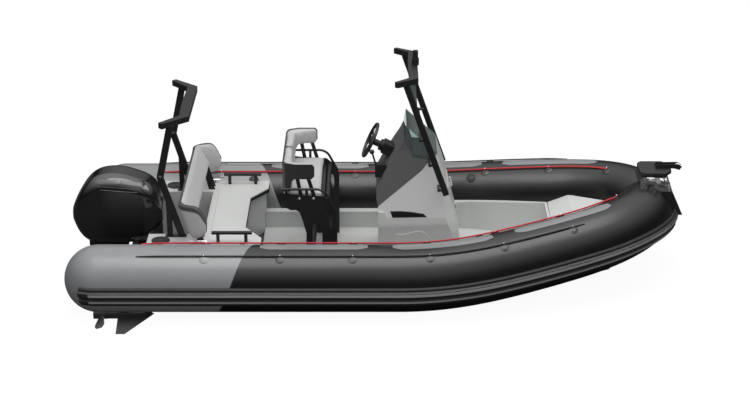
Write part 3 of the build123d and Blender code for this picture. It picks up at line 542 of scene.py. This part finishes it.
def collar_arcs():
    """Arcs of the centre line, each tangent to the last: start, direction, way in, radius, sweep."""
    made = []
    start, along = Vector((BEND_X, TUBE_Y, TUBE_Z)), Vector((1, 0, 0))
    for point in BEND_POINTS:
        chord = Vector(point) - start
        inward = chord - along * chord.dot(along)
        half = math.atan2(inward.length, chord.dot(along))
        inward.normalize()
        made.append((start, along, inward, chord.length / (2 * math.sin(half)), 2 * half))
        along = inward * math.sin(2 * half) + along * math.cos(2 * half)
        start = Vector(point)
    return made


ARCS = collar_arcs()
COLLAR_END = sum(radius * sweep for _, _, _, radius, sweep in ARCS)


def collar_frame(ahead):
    """Port collar, a distance ahead of the bend: centre, outboard, up and radius."""
    if ahead < AFT_X - BEND_X:                     # round the aft end
        turn = (AFT_X - BEND_X - ahead) / TUBE_R
        outboard = Vector((-math.sin(turn), math.cos(turn), 0))
        return Vector((AFT_X, TUBE_Y, TUBE_Z)), outboard, Vector((0, 0, 1)), TUBE_R
    centre, along, place = Vector((BEND_X + ahead, TUBE_Y, TUBE_Z)), Vector((1, 0, 0)), 0.0
    rest = ahead
    if ahead > 0:
        for number, (start, heading, inward, radius, sweep) in enumerate(ARCS):
            turn = min(rest / radius, sweep)
            if rest <= radius * sweep or number == len(ARCS) - 1:
                centre = start + (inward * (1 - math.cos(turn)) + heading * math.sin(turn)) * radius
                along = inward * math.sin(turn) + heading * math.cos(turn)
                place = number + turn / sweep
                break
            rest -= radius * sweep
    outboard = Vector((0, 0, 1)).cross(along).normalized()
    return centre, outboard, along.cross(outboard), TUBE_R - (TUBE_R - BOW_R) * (place / len(ARCS)) ** 1.5


def on_collar(side, ahead, degrees, lift=0.0):
    """Point on the collar: degrees from its top towards outboard, lifted off the fabric."""
    centre, outboard, up, radius = collar_frame(ahead)
    turn = math.radians(degrees)
    point = centre + (outboard * math.sin(turn) + up * math.cos(turn)) * (radius + lift)
    point.y *= side
    return point


def collar_normal(side, ahead, degrees):
    return (on_collar(side, ahead, degrees, 0.1) - on_collar(side, ahead, degrees)).normalized()


def spaced(start, end, step):
    count = max(1, round(abs(end - start) / step))
    return [start + (end - start) * number / count for number in range(count + 1)]


def collar_strip(made, side, start, end, low, high, lift, chamfer=0.0, tip=0.5, step=0.03, columns=8,
                 foot=-0.002):
    """Adds a raised strip on the collar between two distances and two angles, its ends chamfered."""
    rows = []
    for ahead in spaced(start, end, step):
        near = min(ahead - start, end - ahead)
        share = 1.0 if chamfer == 0 or near >= chamfer else tip + (1 - tip) * near / chamfer
        middle, half = (low + high) / 2, (high - low) / 2 * share
        ended = near < 1e-6
        row = [on_collar(side, ahead, middle - half - 0.25, foot)]
        row += [on_collar(side, ahead, middle - half + 2 * half * number / columns, foot if ended else lift)
                for number in range(columns + 1)]
        row += [on_collar(side, ahead, middle + half + 0.25, foot)]
        rows.append([made.verts.new(point) for point in row])
        if near < step * 0.9 and ended:            # a second row just inside the end makes a crisp border
            inside = 0.004 if ahead == start else -0.004
            rows.append([made.verts.new(point) for point in
                         [on_collar(side, ahead + inside, middle - half - 0.25, foot)]
                         + [on_collar(side, ahead + inside, middle - half + 2 * half * number / columns, lift)
                            for number in range(columns + 1)]
                         + [on_collar(side, ahead + inside, middle + half + 0.25, foot)]])
            if inside < 0:
                rows[-1], rows[-2] = rows[-2], rows[-1]
    for lower, upper in zip(rows, rows[1:]):
        for number in range(len(lower) - 1):
            made.faces.new((lower[number], lower[number + 1], upper[number + 1], upper[number]))


# ------------------------------------------------------------------ fittings on the collar
PATCH_RUNS = [(-1.19, -0.26), (-0.05, 0.87), (1.07, 1.99)]     # ahead of the bend
PATCH_LOW, PATCH_HIGH = -13.5, 8.8                             # degrees from the top towards outboard
INNER_LINE = -24.0
OUTER_LINE = 27.0
RINGS = [-1.66, -1.01, -0.39, 0.27, 0.92, 1.545, 2.165]
VALVE_AHEAD, VALVE_DEGREES = 0.785, -41.7


# turned forms on the collar as (height off the fabric, radius)
PAD_TURNING = [(-0.004, 0.040), (0.0022, 0.040), (0.0036, 0.037), (0.0040, 0.028), (0.0062, 0.024),
               (0.0066, 0.012)]
VALVE_TURNING = [(-0.004, 0.046), (0.003, 0.046), (0.006, 0.042), (0.006, 0.036), (0.002, 0.034),
                 (0.002, 0.028), (0.010, 0.026), (0.012, 0.022), (0.012, 0.010), (0.008, 0.008)]


def build_collar_trim():
    for side, word in ((1, "port"), (-1, "starboard")):
        made = bmesh.new()
        for start, end in PATCH_RUNS:
            collar_strip(made, side, start, end, PATCH_LOW, PATCH_HIGH, 0.0035, chamfer=0.075)
        put_bm(f"wear_patches_{word}", made, looks["wear_patch"])

        # grey strips on the strake's two rib crests: painted highlight along the ribs, in a grey piping
        # colour
        made = bmesh.new()
        for low, high, lift in ((104.0, 106.7, 0.0400), (91.6, 95.2, 0.0440)):
            collar_strip(made, side, AFT_X - BEND_X - 0.045, COLLAR_END - 0.14, low, high, lift, step=0.05,
                         columns=6, foot=lift - 0.006)
        put_bm(f"rib_highlight_strips_{word}", made, looks["painted_rib_highlight"])

        for kind, degrees, radius, finish, first, last in (
                ("inner", INNER_LINE, 0.0075, "lifeline_red", -2.22, 2.165),
                ("outer", OUTER_LINE, 0.0062, "lifeline_black", -2.24, 1.66)):
            points = [on_collar(side, ahead, degrees, radius + 0.004) for ahead in spaced(first, last, 0.15)]
            points[0] = on_collar(side, first, degrees, 0.001)
            points[-1] = on_collar(side, last, degrees, 0.001)
            line_piece(f"lifeline_{kind}_{word}", points, radius, looks[finish])

        pads, rings_ = bmesh.new(), bmesh.new()
        for degrees, lean, places in ((INNER_LINE, -1, RINGS), (OUTER_LINE, 1, RINGS[:-1])):
            for ahead in places:
                middle = degrees + lean * 5.2
                normal = collar_normal(side, ahead, middle)
                turned(pads, PAD_TURNING, on_collar(side, ahead, middle, -0.0005), normal, 28)
                across = (on_collar(side, ahead, degrees) - on_collar(side, ahead, middle)).normalized()
                ring(rings_, on_collar(side, ahead, degrees, 0.0105), across.cross(normal), 0.0125, 0.0024)
        put_bm(f"ring_pads_{word}", pads, collar_looks[f"{word}_tube"])
        put_bm(f"line_rings_{word}", rings_, looks["stainless"])

        made = bmesh.new()
        for ahead, degrees in ((VALVE_AHEAD, VALVE_DEGREES), (-1.35, VALVE_DEGREES)):
            normal = collar_normal(side, ahead, degrees)
            place = on_collar(side, ahead, degrees)
            turned(made, VALVE_TURNING, place, normal, 32)
            side_way = normal.orthogonal().normalized()
            for turn in range(6):
                spoke = Matrix.Rotation(math.radians(60 * turn), 3, normal) @ side_way
                turned(made, [(0.0, 0.005), (0.011, 0.004)], place + spoke * 0.031, normal, 8)
        put_bm(f"valves_{word}", made, looks["black_plastic"])


# ------------------------------------------------------------------ soft goods
def settled(piece):
    """Mesh of a piece with its modifiers applied."""
    graph = bpy.context.evaluated_depsgraph_get()
    return bpy.data.meshes.new_from_object(piece.evaluated_get(graph))


def swell(piece, pressure, cap):
    """Blows a closed form up as cloth for a moment; no point moves further than the cap."""
    before = [vertex.co.copy() for vertex in piece.data.vertices]
    cloth = piece.modifiers.new("swell", "CLOTH")
    settings = cloth.settings
    settings.quality = 4
    settings.mass = 0.4
    settings.tension_stiffness = settings.compression_stiffness = 25
    settings.shear_stiffness = 12
    settings.bending_stiffness = 6
    settings.use_pressure = True
    settings.uniform_pressure_force = pressure
    settings.effector_weights.gravity = 0
    cloth.point_cache.frame_start = 1
    cloth.point_cache.frame_end = 20
    for frame_number in range(1, 21):
        scene.frame_set(frame_number)
    swollen = settled(piece)
    piece.modifiers.clear()
    scene.frame_set(1)
    for vertex, start in zip(swollen.vertices, before):
        move = vertex.co - start
        if move.length > cap:
            vertex.co = start + move * (cap / move.length)
    piece.data = swollen


def stuffed(name, node_names, material, voxel, shrink, soften, cap, pressure=4.0,
            finish_smooth=6):
    """Padded form: its solids, shrunk and rounded, blown up a little as cloth, then smoothed."""
    made = bmesh.new()
    for node_name in node_names:
        source = nodes[node_name]
        mesh = source.data.copy()
        mesh.transform(source.matrix_world)
        made.from_mesh(mesh)
    mesh = bpy.data.meshes.new(name)
    made.to_mesh(mesh)
    made.free()
    piece = bpy.data.objects.new(name, mesh)
    scene.collection.objects.link(piece)
    remesh = piece.modifiers.new("remesh", "REMESH")
    remesh.mode = "VOXEL"
    remesh.voxel_size = voxel
    smooth = piece.modifiers.new("round", "SMOOTH")
    smooth.factor = 0.5
    smooth.iterations = soften
    piece.data = settled(piece)
    piece.modifiers.clear()
    # draw in along the normals, so that the swelling ends in the space of the solid
    normals = [vertex.normal.copy() for vertex in piece.data.vertices]
    for vertex, normal in zip(piece.data.vertices, normals):
        vertex.co -= normal * shrink
    swell(piece, pressure, cap)
    smooth = piece.modifiers.new("even", "SMOOTH")
    smooth.factor = 0.5
    smooth.iterations = finish_smooth
    finer = piece.modifiers.new("finer", "SUBSURF")
    finer.levels = finer.render_levels = 1
    mesh = settled(piece)
    piece.modifiers.clear()
    piece.data = mesh
    mesh.name = name
    mesh.materials.clear()
    mesh.materials.append(material)
    mesh.shade_smooth()
    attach(piece, "boat")
    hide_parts(*node_names)
    return piece


def welt(name, target, runs, radius, material, sink=0.4, body="boat", cyclic=True):
    """Piping sewn along runs of points that are dropped on to the padded form."""
    made = bmesh.new()
    made.from_mesh(target.data)
    tree = BVHTree.FromBMesh(made)
    made.free()
    pieces = []
    for number, run in enumerate(runs):
        corners = [Vector(point) for point in run]
        if cyclic:
            corners.append(corners[0])
        points = []
        for start, end in zip(corners, corners[1:]):
            count = max(1, round((end - start).length / 0.02))
            for step in range(count):
                place, normal, _, _ = tree.find_nearest(start.lerp(end, step / count))
                points.append(place + normal * radius * (1 - sink))
        if not cyclic:
            place, normal, _, _ = tree.find_nearest(corners[-1])
            points.append(place + normal * radius * (1 - sink))
        pieces.append(line_piece(f"{name}_{number}", points, radius, material, body, cyclic))
    return pieces


# the aft backrest from its middle to the front of a wing: top of the pad, foot of the pad, thickness
BACKREST_STATIONS = [
    ((-1.697, 0.000, 0.882), (-1.566, 0.000, 0.712), 0.052),
    ((-1.697, 0.600, 0.882), (-1.566, 0.600, 0.712), 0.052),
    ((-1.696, 0.665, 0.884), (-1.577, 0.668, 0.704), 0.052),
    ((-1.686, 0.720, 0.886), (-1.596, 0.715, 0.672), 0.052),
    ((-1.656, 0.755, 0.884), (-1.600, 0.748, 0.626), 0.052),
    ((-1.603, 0.778, 0.884), (-1.583, 0.770, 0.596), 0.052),
    ((-1.550, 0.790, 0.880), (-1.550, 0.784, 0.590), 0.052),
    ((-1.510, 0.795, 0.850), (-1.510, 0.792, 0.602), 0.050),
    ((-1.476, 0.798, 0.780), (-1.476, 0.797, 0.628), 0.048),
    ((-1.456, 0.799, 0.725), (-1.458, 0.799, 0.655), 0.040),
]
# columns of the section that the dark edge band takes, each side of the top edge
BAND_INSIDE, BAND_OUTSIDE = 2, 7


def eased(rows, share):
    """Smooth curve through rows of numbers, share from 0 to the last row."""
    here = min(int(share), len(rows) - 2)
    rest = share - here
    before, first, second, after = (rows[max(0, min(len(rows) - 1, here + step))] for step in (-1, 0, 1, 2))
    return [0.5 * (2 * b + (c_ - a) * rest + (2 * a - 5 * b + 4 * c_ - d) * rest ** 2
                   + (3 * b - a - 3 * c_ + d) * rest ** 3)
            for a, b, c_, d in zip(before, first, second, after)]


def pad_section(top, foot, thick, along, columns=44, crown=0.006):
    """Closed outline of a stuffed pad from the middle of its top edge: sides crowned, edges round."""
    down = (foot - top)
    height = down.length
    down.normalize()
    out = along.cross(down).normalized()
    middle = (top + foot) / 2
    points = []
    for number in range(columns):
        turn = 2 * math.pi * (number + 0.5) / columns
        # a squircle whose long sides swell a little
        up_share = math.copysign(abs(math.cos(turn)) ** 0.38, math.cos(turn))
        out_share = math.copysign(abs(math.sin(turn)) ** 0.42, math.sin(turn))
        swell = crown * (1 - up_share ** 2)
        points.append(middle - down * up_share * height / 2 + out * out_share * (thick / 2 + swell))
    return points


def build_aft_backrest():
    half = [[*top, *foot, thick] for top, foot, thick in BACKREST_STATIONS]
    shares = [number / 6 for number in range(6 * (len(half) - 1) + 1)]
    port = [eased(half, share) for share in shares]
    # even out the long straight run
    first = [[a + (b - a) * number / 22 for a, b in zip(half[0], half[1])] for number in range(22)]
    port = first + port[6:]
    rows = [[x, -y, z, fx, -fy, fz, thick] for x, y, z, fx, fy, fz, thick in reversed(port[1:])] + port
    made = bmesh.new()
    rings_ = []
    for number, row in enumerate(rows):
        before, after = rows[max(0, number - 1)], rows[min(len(rows) - 1, number + 1)]
        along = Vector(after[3:6]) + Vector(after[:3]) - Vector(before[3:6]) - Vector(before[:3])
        along.normalize()
        section = pad_section(Vector(row[:3]), Vector(row[3:6]), row[6], along)
        rings_.append([made.verts.new(point) for point in section])
    columns = len(rings_[0])
    for lower, upper in zip(rings_, rings_[1:]):
        for number in range(columns):
            after = (number + 1) % columns
            face = made.faces.new((lower[number], lower[after], upper[after], upper[number]))
            face.material_index = 1 if number < BAND_OUTSIDE or number >= columns - BAND_INSIDE else 0
    for ring_ in (rings_[0], rings_[-1]):
        centre = made.verts.new(sum((vertex.co for vertex in ring_), Vector()) / columns)
        for number in range(columns):
            made.faces.new((ring_[number], ring_[(number + 1) % columns], centre)).material_index = 1
    bmesh.ops.recalc_face_normals(made, faces=made.faces)
    mesh = bpy.data.meshes.new("aft_backrest_pad")
    made.to_mesh(mesh)
    made.free()
    pad = bpy.data.objects.new("aft_backrest_pad", mesh)
    scene.collection.objects.link(pad)
    mesh.materials.append(looks["cushion_light"])
    mesh.materials.append(looks["cushion_edge"])
    swell(pad, 2.0, 0.005)
    finer = pad.modifiers.new("finer", "SUBSURF")
    finer.levels = finer.render_levels = 1
    pad.data = settled(pad)
    pad.modifiers.clear()
    pad.data.shade_smooth()
    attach(pad, "boat")
    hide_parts("aft_backrest")
    runs = []
    for column in (BAND_OUTSIDE, columns - BAND_INSIDE):
        runs.append([tuple(pad_section(Vector(row[:3]), Vector(row[3:6]), row[6],
                                       (Vector(rows[min(len(rows) - 1, number + 1)][:3])
                                        - Vector(rows[max(0, number - 1)][:3])).normalized())[column])
                     for number, row in enumerate(rows) if number % 3 == 0 or number in (len(rows) - 1,)])
    welt("aft_backrest_welt", pad, runs, 0.0030, looks["cushion_edge"], cyclic=False)


def build_helm_seat():
    stuffed("helm_cushion", ["helm_seat_cushion"], looks["cushion_light"], 0.006, 0.003, 12, 0.012)
    stuffed("helm_back_pads", ["helm_backrest_pads"], looks["cushion_light"], 0.006, 0.003, 10, 0.010,
            pressure=3.0)


# ------------------------------------------------------------------ hard trim
VENT = [(0.135, 0.659), (0.230, 0.661), (0.330, 0.652), (0.430, 0.636), (0.467, 0.603), (0.156, 0.597)]
BENCH_FRONT = [(-1.0, 0.79), (-1.0, 0.59), (-1.155, 0.35)]
BENCH_TOP = 0.505


def edge_band(made, line, outward, low, high, thickness):
    """Adds an upright strip along a plan line, standing off it by a thickness."""
    rows = []
    for number, point in enumerate(line):
        before = Vector(line[max(0, number - 1)])
        after = Vector(line[min(len(line) - 1, number + 1)])
        along = (after - before).normalized()
        normal = Vector((along.y, -along.x))
        if normal.x * outward < 0:
            normal = -normal
        there = Vector(point) + normal * thickness
        rows.append([made.verts.new((*place, height)) for place, height in
                     ((Vector(point), low), (there, low), (there, high), (Vector(point), high))])
    for lower, upper in zip(rows, rows[1:]):
        for number in range(4):
            after = (number + 1) % 4
            made.faces.new((lower[number], lower[after], upper[after], upper[number]))
    made.faces.new(rows[0])
    made.faces.new(rows[-1])


def build_console_trim():
    made = bmesh.new()
    for side in (1, -1):
        low, high = sorted((side * 0.3512, side * 0.3545))
        prism(made, VENT, low, high)
        for share in (0.25, 0.5, 0.75):
            height = 0.597 + share * 0.058
            prism(made, [(0.150, height - 0.002), (0.455 - 0.10 * share, height - 0.002),
                         (0.450 - 0.10 * share, height + 0.003), (0.150, height + 0.003)],
                  *sorted((side * 0.3540, side * 0.3590)))
    put_bm("console_vents", made, looks["black_plastic"])


# plan of the bench's aft lip, its port aft corner cut back
LIP_OUTLINE = [(-1.452, -0.56), (-1.452, 0.56), (-1.478, 0.56), (-1.500, 0.548), (-1.515, 0.520),
               (-1.515, -0.56)]


def build_bench_trim():
    # dark band round the bench's front face, just under its top edge
    made = bmesh.new()
    line = BENCH_FRONT + [(x, -y) for x, y in reversed(BENCH_FRONT)]
    edge_band(made, line, 1, BENCH_TOP - 0.040, BENCH_TOP - 0.010, 0.004)
    put_bm("bench_front_dark_band", made, looks["black_plastic"])
    made = bmesh.new()
    prism(made, LIP_OUTLINE, BENCH_TOP - 0.042, BENCH_TOP - 0.0005, axes="xy")
    bmesh.ops.recalc_face_normals(made, faces=made.faces)
    rounded(made, 0.006)
    put_bm("bench_aft_lip", made, looks["deck_gelcoat"])


SEAT_HALF = 0.470
SEAT_HOLES = [
    [(-.552, .592), (-.470, .604), (-.468, .440), (-.476, .250), (-.556, .250)],
    [(-.428, .704), (-.384, .690), (-.378, .600), (-.386, .545), (-.398, .560), (-.412, .640)],
]


def build_seat_frame():
    """The helm seat's frame with cut-outs through both side plates."""
    piece = bpy.data.objects.new("seat_frame_cut", nodes["helm_seat_frame"].data.copy())
    scene.collection.objects.link(piece)
    piece.matrix_world = nodes["helm_seat_frame"].matrix_world.copy()
    for hole in SEAT_HOLES:
        made = bmesh.new()
        prism_faces(made, [[made.verts.new((x, y, z)) for x, z in soft_corners(hole, 0.012)]
                           for y in (-0.8, 0.8)])
        mesh = bpy.data.meshes.new("seat_cutter")
        made.to_mesh(mesh)
        made.free()
        cutter = bpy.data.objects.new("seat_cutter", mesh)
        scene.collection.objects.link(cutter)
        cut = piece.modifiers.new("cut", "BOOLEAN")
        cut.object = cutter
        cut.solver = "EXACT"
        cut.operation = "DIFFERENCE"
        piece.data = settled(piece)
        piece.modifiers.clear()
        bpy.data.objects.remove(cutter)
    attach(piece, "boat")
    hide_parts("helm_seat_frame")


def prism_faces(made, rings_):
    """Walls and both ends of a prism between two rings of vertices."""
    count = len(rings_[0])
    for number in range(count):
        after = (number + 1) % count
        made.faces.new((rings_[0][number], rings_[0][after], rings_[1][after], rings_[1][number]))
    made.faces.new(reversed(rings_[0]))
    made.faces.new(rings_[1])
    bmesh.ops.recalc_face_normals(made, faces=made.faces)


def soft_corners(loop, cut):
    """Closed outline with each corner cut back and rounded."""
    made = []
    for number, corner in enumerate(loop):
        corner = Vector(corner)
        before, after = Vector(loop[number - 1]), Vector(loop[(number + 1) % len(loop)])
        back = corner + (before - corner).normalized() * min(cut, (before - corner).length * 0.45)
        fore = corner + (after - corner).normalized() * min(cut, (after - corner).length * 0.45)
        made += [tuple(back.lerp(corner, step / 4).lerp(corner.lerp(fore, step / 4), step / 4))
                 for step in range(5)]
    return made


def bolt_head(made, centre, axis, radius, high):
    turned(made, [(-0.002, radius * 1.35), (0.0015, radius * 1.35), (0.0025, radius), (high * 0.7, radius),
                  (high, radius * 0.75), (high, radius * 0.3)], centre, axis, 12)


def build_seat_trim():
    bolts = bmesh.new()
    for side in (1, -1):
        for x, z in ((-0.664, 0.831), (-0.540, 0.831), (-0.590, 0.125), (-0.360, 0.125)):
            bolt_head(bolts, (x, side * (SEAT_HALF + 0.0040), z), (0, side, 0), 0.010, 0.007)
    put_bm("seat_bolts", bolts, looks["stainless"])


# on the nose's flanks, x and height: the grey plate, then the two bright fittings on it
NOSE_PLATE = [(2.440, 0.868), (2.618, 0.818), (2.650, 0.906), (2.395, 0.906)]
NOSE_FITTINGS = [[(2.432, 0.884), (2.508, 0.878), (2.500, 0.902), (2.424, 0.904)],
                 [(2.556, 0.866), (2.606, 0.856), (2.612, 0.886), (2.552, 0.892)]]


def build_bow_trim():
    surface = surface_of(nodes["bow_nose"])
    plates, fittings = bmesh.new(), bmesh.new()
    for side in (1, -1):
        corners = [(x, side * 0.40, z) for x, z in NOSE_PLATE]
        skin_patch(plates, surface, corners, (0, -side, 0), 8, 14, 0.0022)
        for outline in NOSE_FITTINGS:
            corners = [(x, side * 0.40, z) for x, z in outline]
            skin_patch(fittings, surface, corners, (0, -side, 0), 5, 7, 0.0080)
    put_bm("nose_side_plates", plates, looks["trim_plate"])
    put_bm("nose_fittings", fittings, looks["stainless"])
    made = bmesh.new()
    turned(made, [(-0.026, 0.010), (-0.026, 0.021), (-0.018, 0.0235), (0.018, 0.0235), (0.026, 0.021),
                  (0.026, 0.010)],
           (2.728, 0, 0.9553), (0, 1, 0), 28)
    put_bm("roller_wheel", made, looks["roller_white"])


def build_deck_trim():
    """Hatch rings on the stern quarters and cleats beside the bench."""
    made = bmesh.new()
    for side in (1, -1):
        for radius in (0.030, 0.048, 0.066):
            ring(made, (-1.880, side * 0.655, 0.5137), (0, 0, 1), radius, 0.0024, 36, 6)
    put_bm("deck_plate_rings", made, looks["black_plastic"])
    made = bmesh.new()
    for side in (1, -1):
        x, y = -1.545, side * 0.735
        for shift in (-0.035, 0.035):
            foot = (x + shift, y, 0.5052)
            turned(made, [(0.0, 0.013), (0.006, 0.011), (0.026, 0.009)], foot, (0, 0, 1), 14)
        turned(made, [(-0.085, 0.004), (-0.078, 0.008), (0.0, 0.011), (0.078, 0.008), (0.085, 0.004)],
               (x, y, 0.533), (1, 0, 0), 16)
    put_bm("stern_cleats", made, looks["stainless"])


# side view, on each side of the cowling, of the lighter shoulder patches, a painted reflection, and of the
# thin light lines, painted highlights
COWL_REFLECTION_OUTLINES = [
    [(-2.507, .851), (-2.276, .851), (-2.290, .905), (-2.518, .905)],
    [(-2.276, .851), (-2.062, .818), (-2.079, .880), (-2.290, .905)],
]
COWL_HIGHLIGHT_LINES = [
    [(-2.500, .832), (-2.085, .800), (-2.085, .806), (-2.500, .838)],
    [(-2.470, .800), (-2.120, .772), (-2.120, .778), (-2.470, .806)],
]


def build_cowl_highlights():
    # lighter patches and thin lines laid on the glossy black cowl: painted reflection on the shoulders,
    # painted highlights along the lines
    surface = surface_of(nodes["cowl"])
    reflection_patches, highlight_lines = bmesh.new(), bmesh.new()
    for side in (1, -1):
        way = Vector((0, -side * 0.924, -0.383))

        def start(x, z):
            return Vector((x, side * 0.2, z)) - way * 0.5

        for outline in COWL_REFLECTION_OUTLINES:
            skin_patch(reflection_patches, surface, [start(x, z) for x, z in outline], way, 8, 14, 0.0022)
        for outline in COWL_HIGHLIGHT_LINES:
            skin_patch(highlight_lines, surface, [start(x, z) for x, z in outline], way, 2, 24, 0.0020, 0.003)
    put_bm("cowl_shoulder_reflection", reflection_patches, looks["cowl_painted_highlight"], "motor")
    put_bm("cowl_line_highlights", highlight_lines, looks["cowl_painted_highlight"], "motor")


# grey of the strips on the strake's rib crests: painted highlight, in a grey piping colour
looks["painted_rib_highlight"] = moulded("painted_rib_highlight", (0.30, 0.30, 0.305), 0.35, variation=0.06)
looks["roller_white"] = moulded("roller_white", (0.70, 0.70, 0.69), 0.4)
# lighter grey on the glossy black cowl: painted reflection and painted highlights
looks["cowl_painted_highlight"] = moulded("cowl_painted_highlight", (0.10, 0.10, 0.102), 0.42, metallic=0.3, coat=0.2)
looks["cushion_edge"] = vinyl("cushion_edge", (0.040, 0.040, 0.042))

build_collar_trim()
build_aft_backrest()
build_helm_seat()
build_console_trim()
build_bench_trim()
build_cowl_highlights()
build_seat_trim()
build_seat_frame()
build_bow_trim()
build_deck_trim()
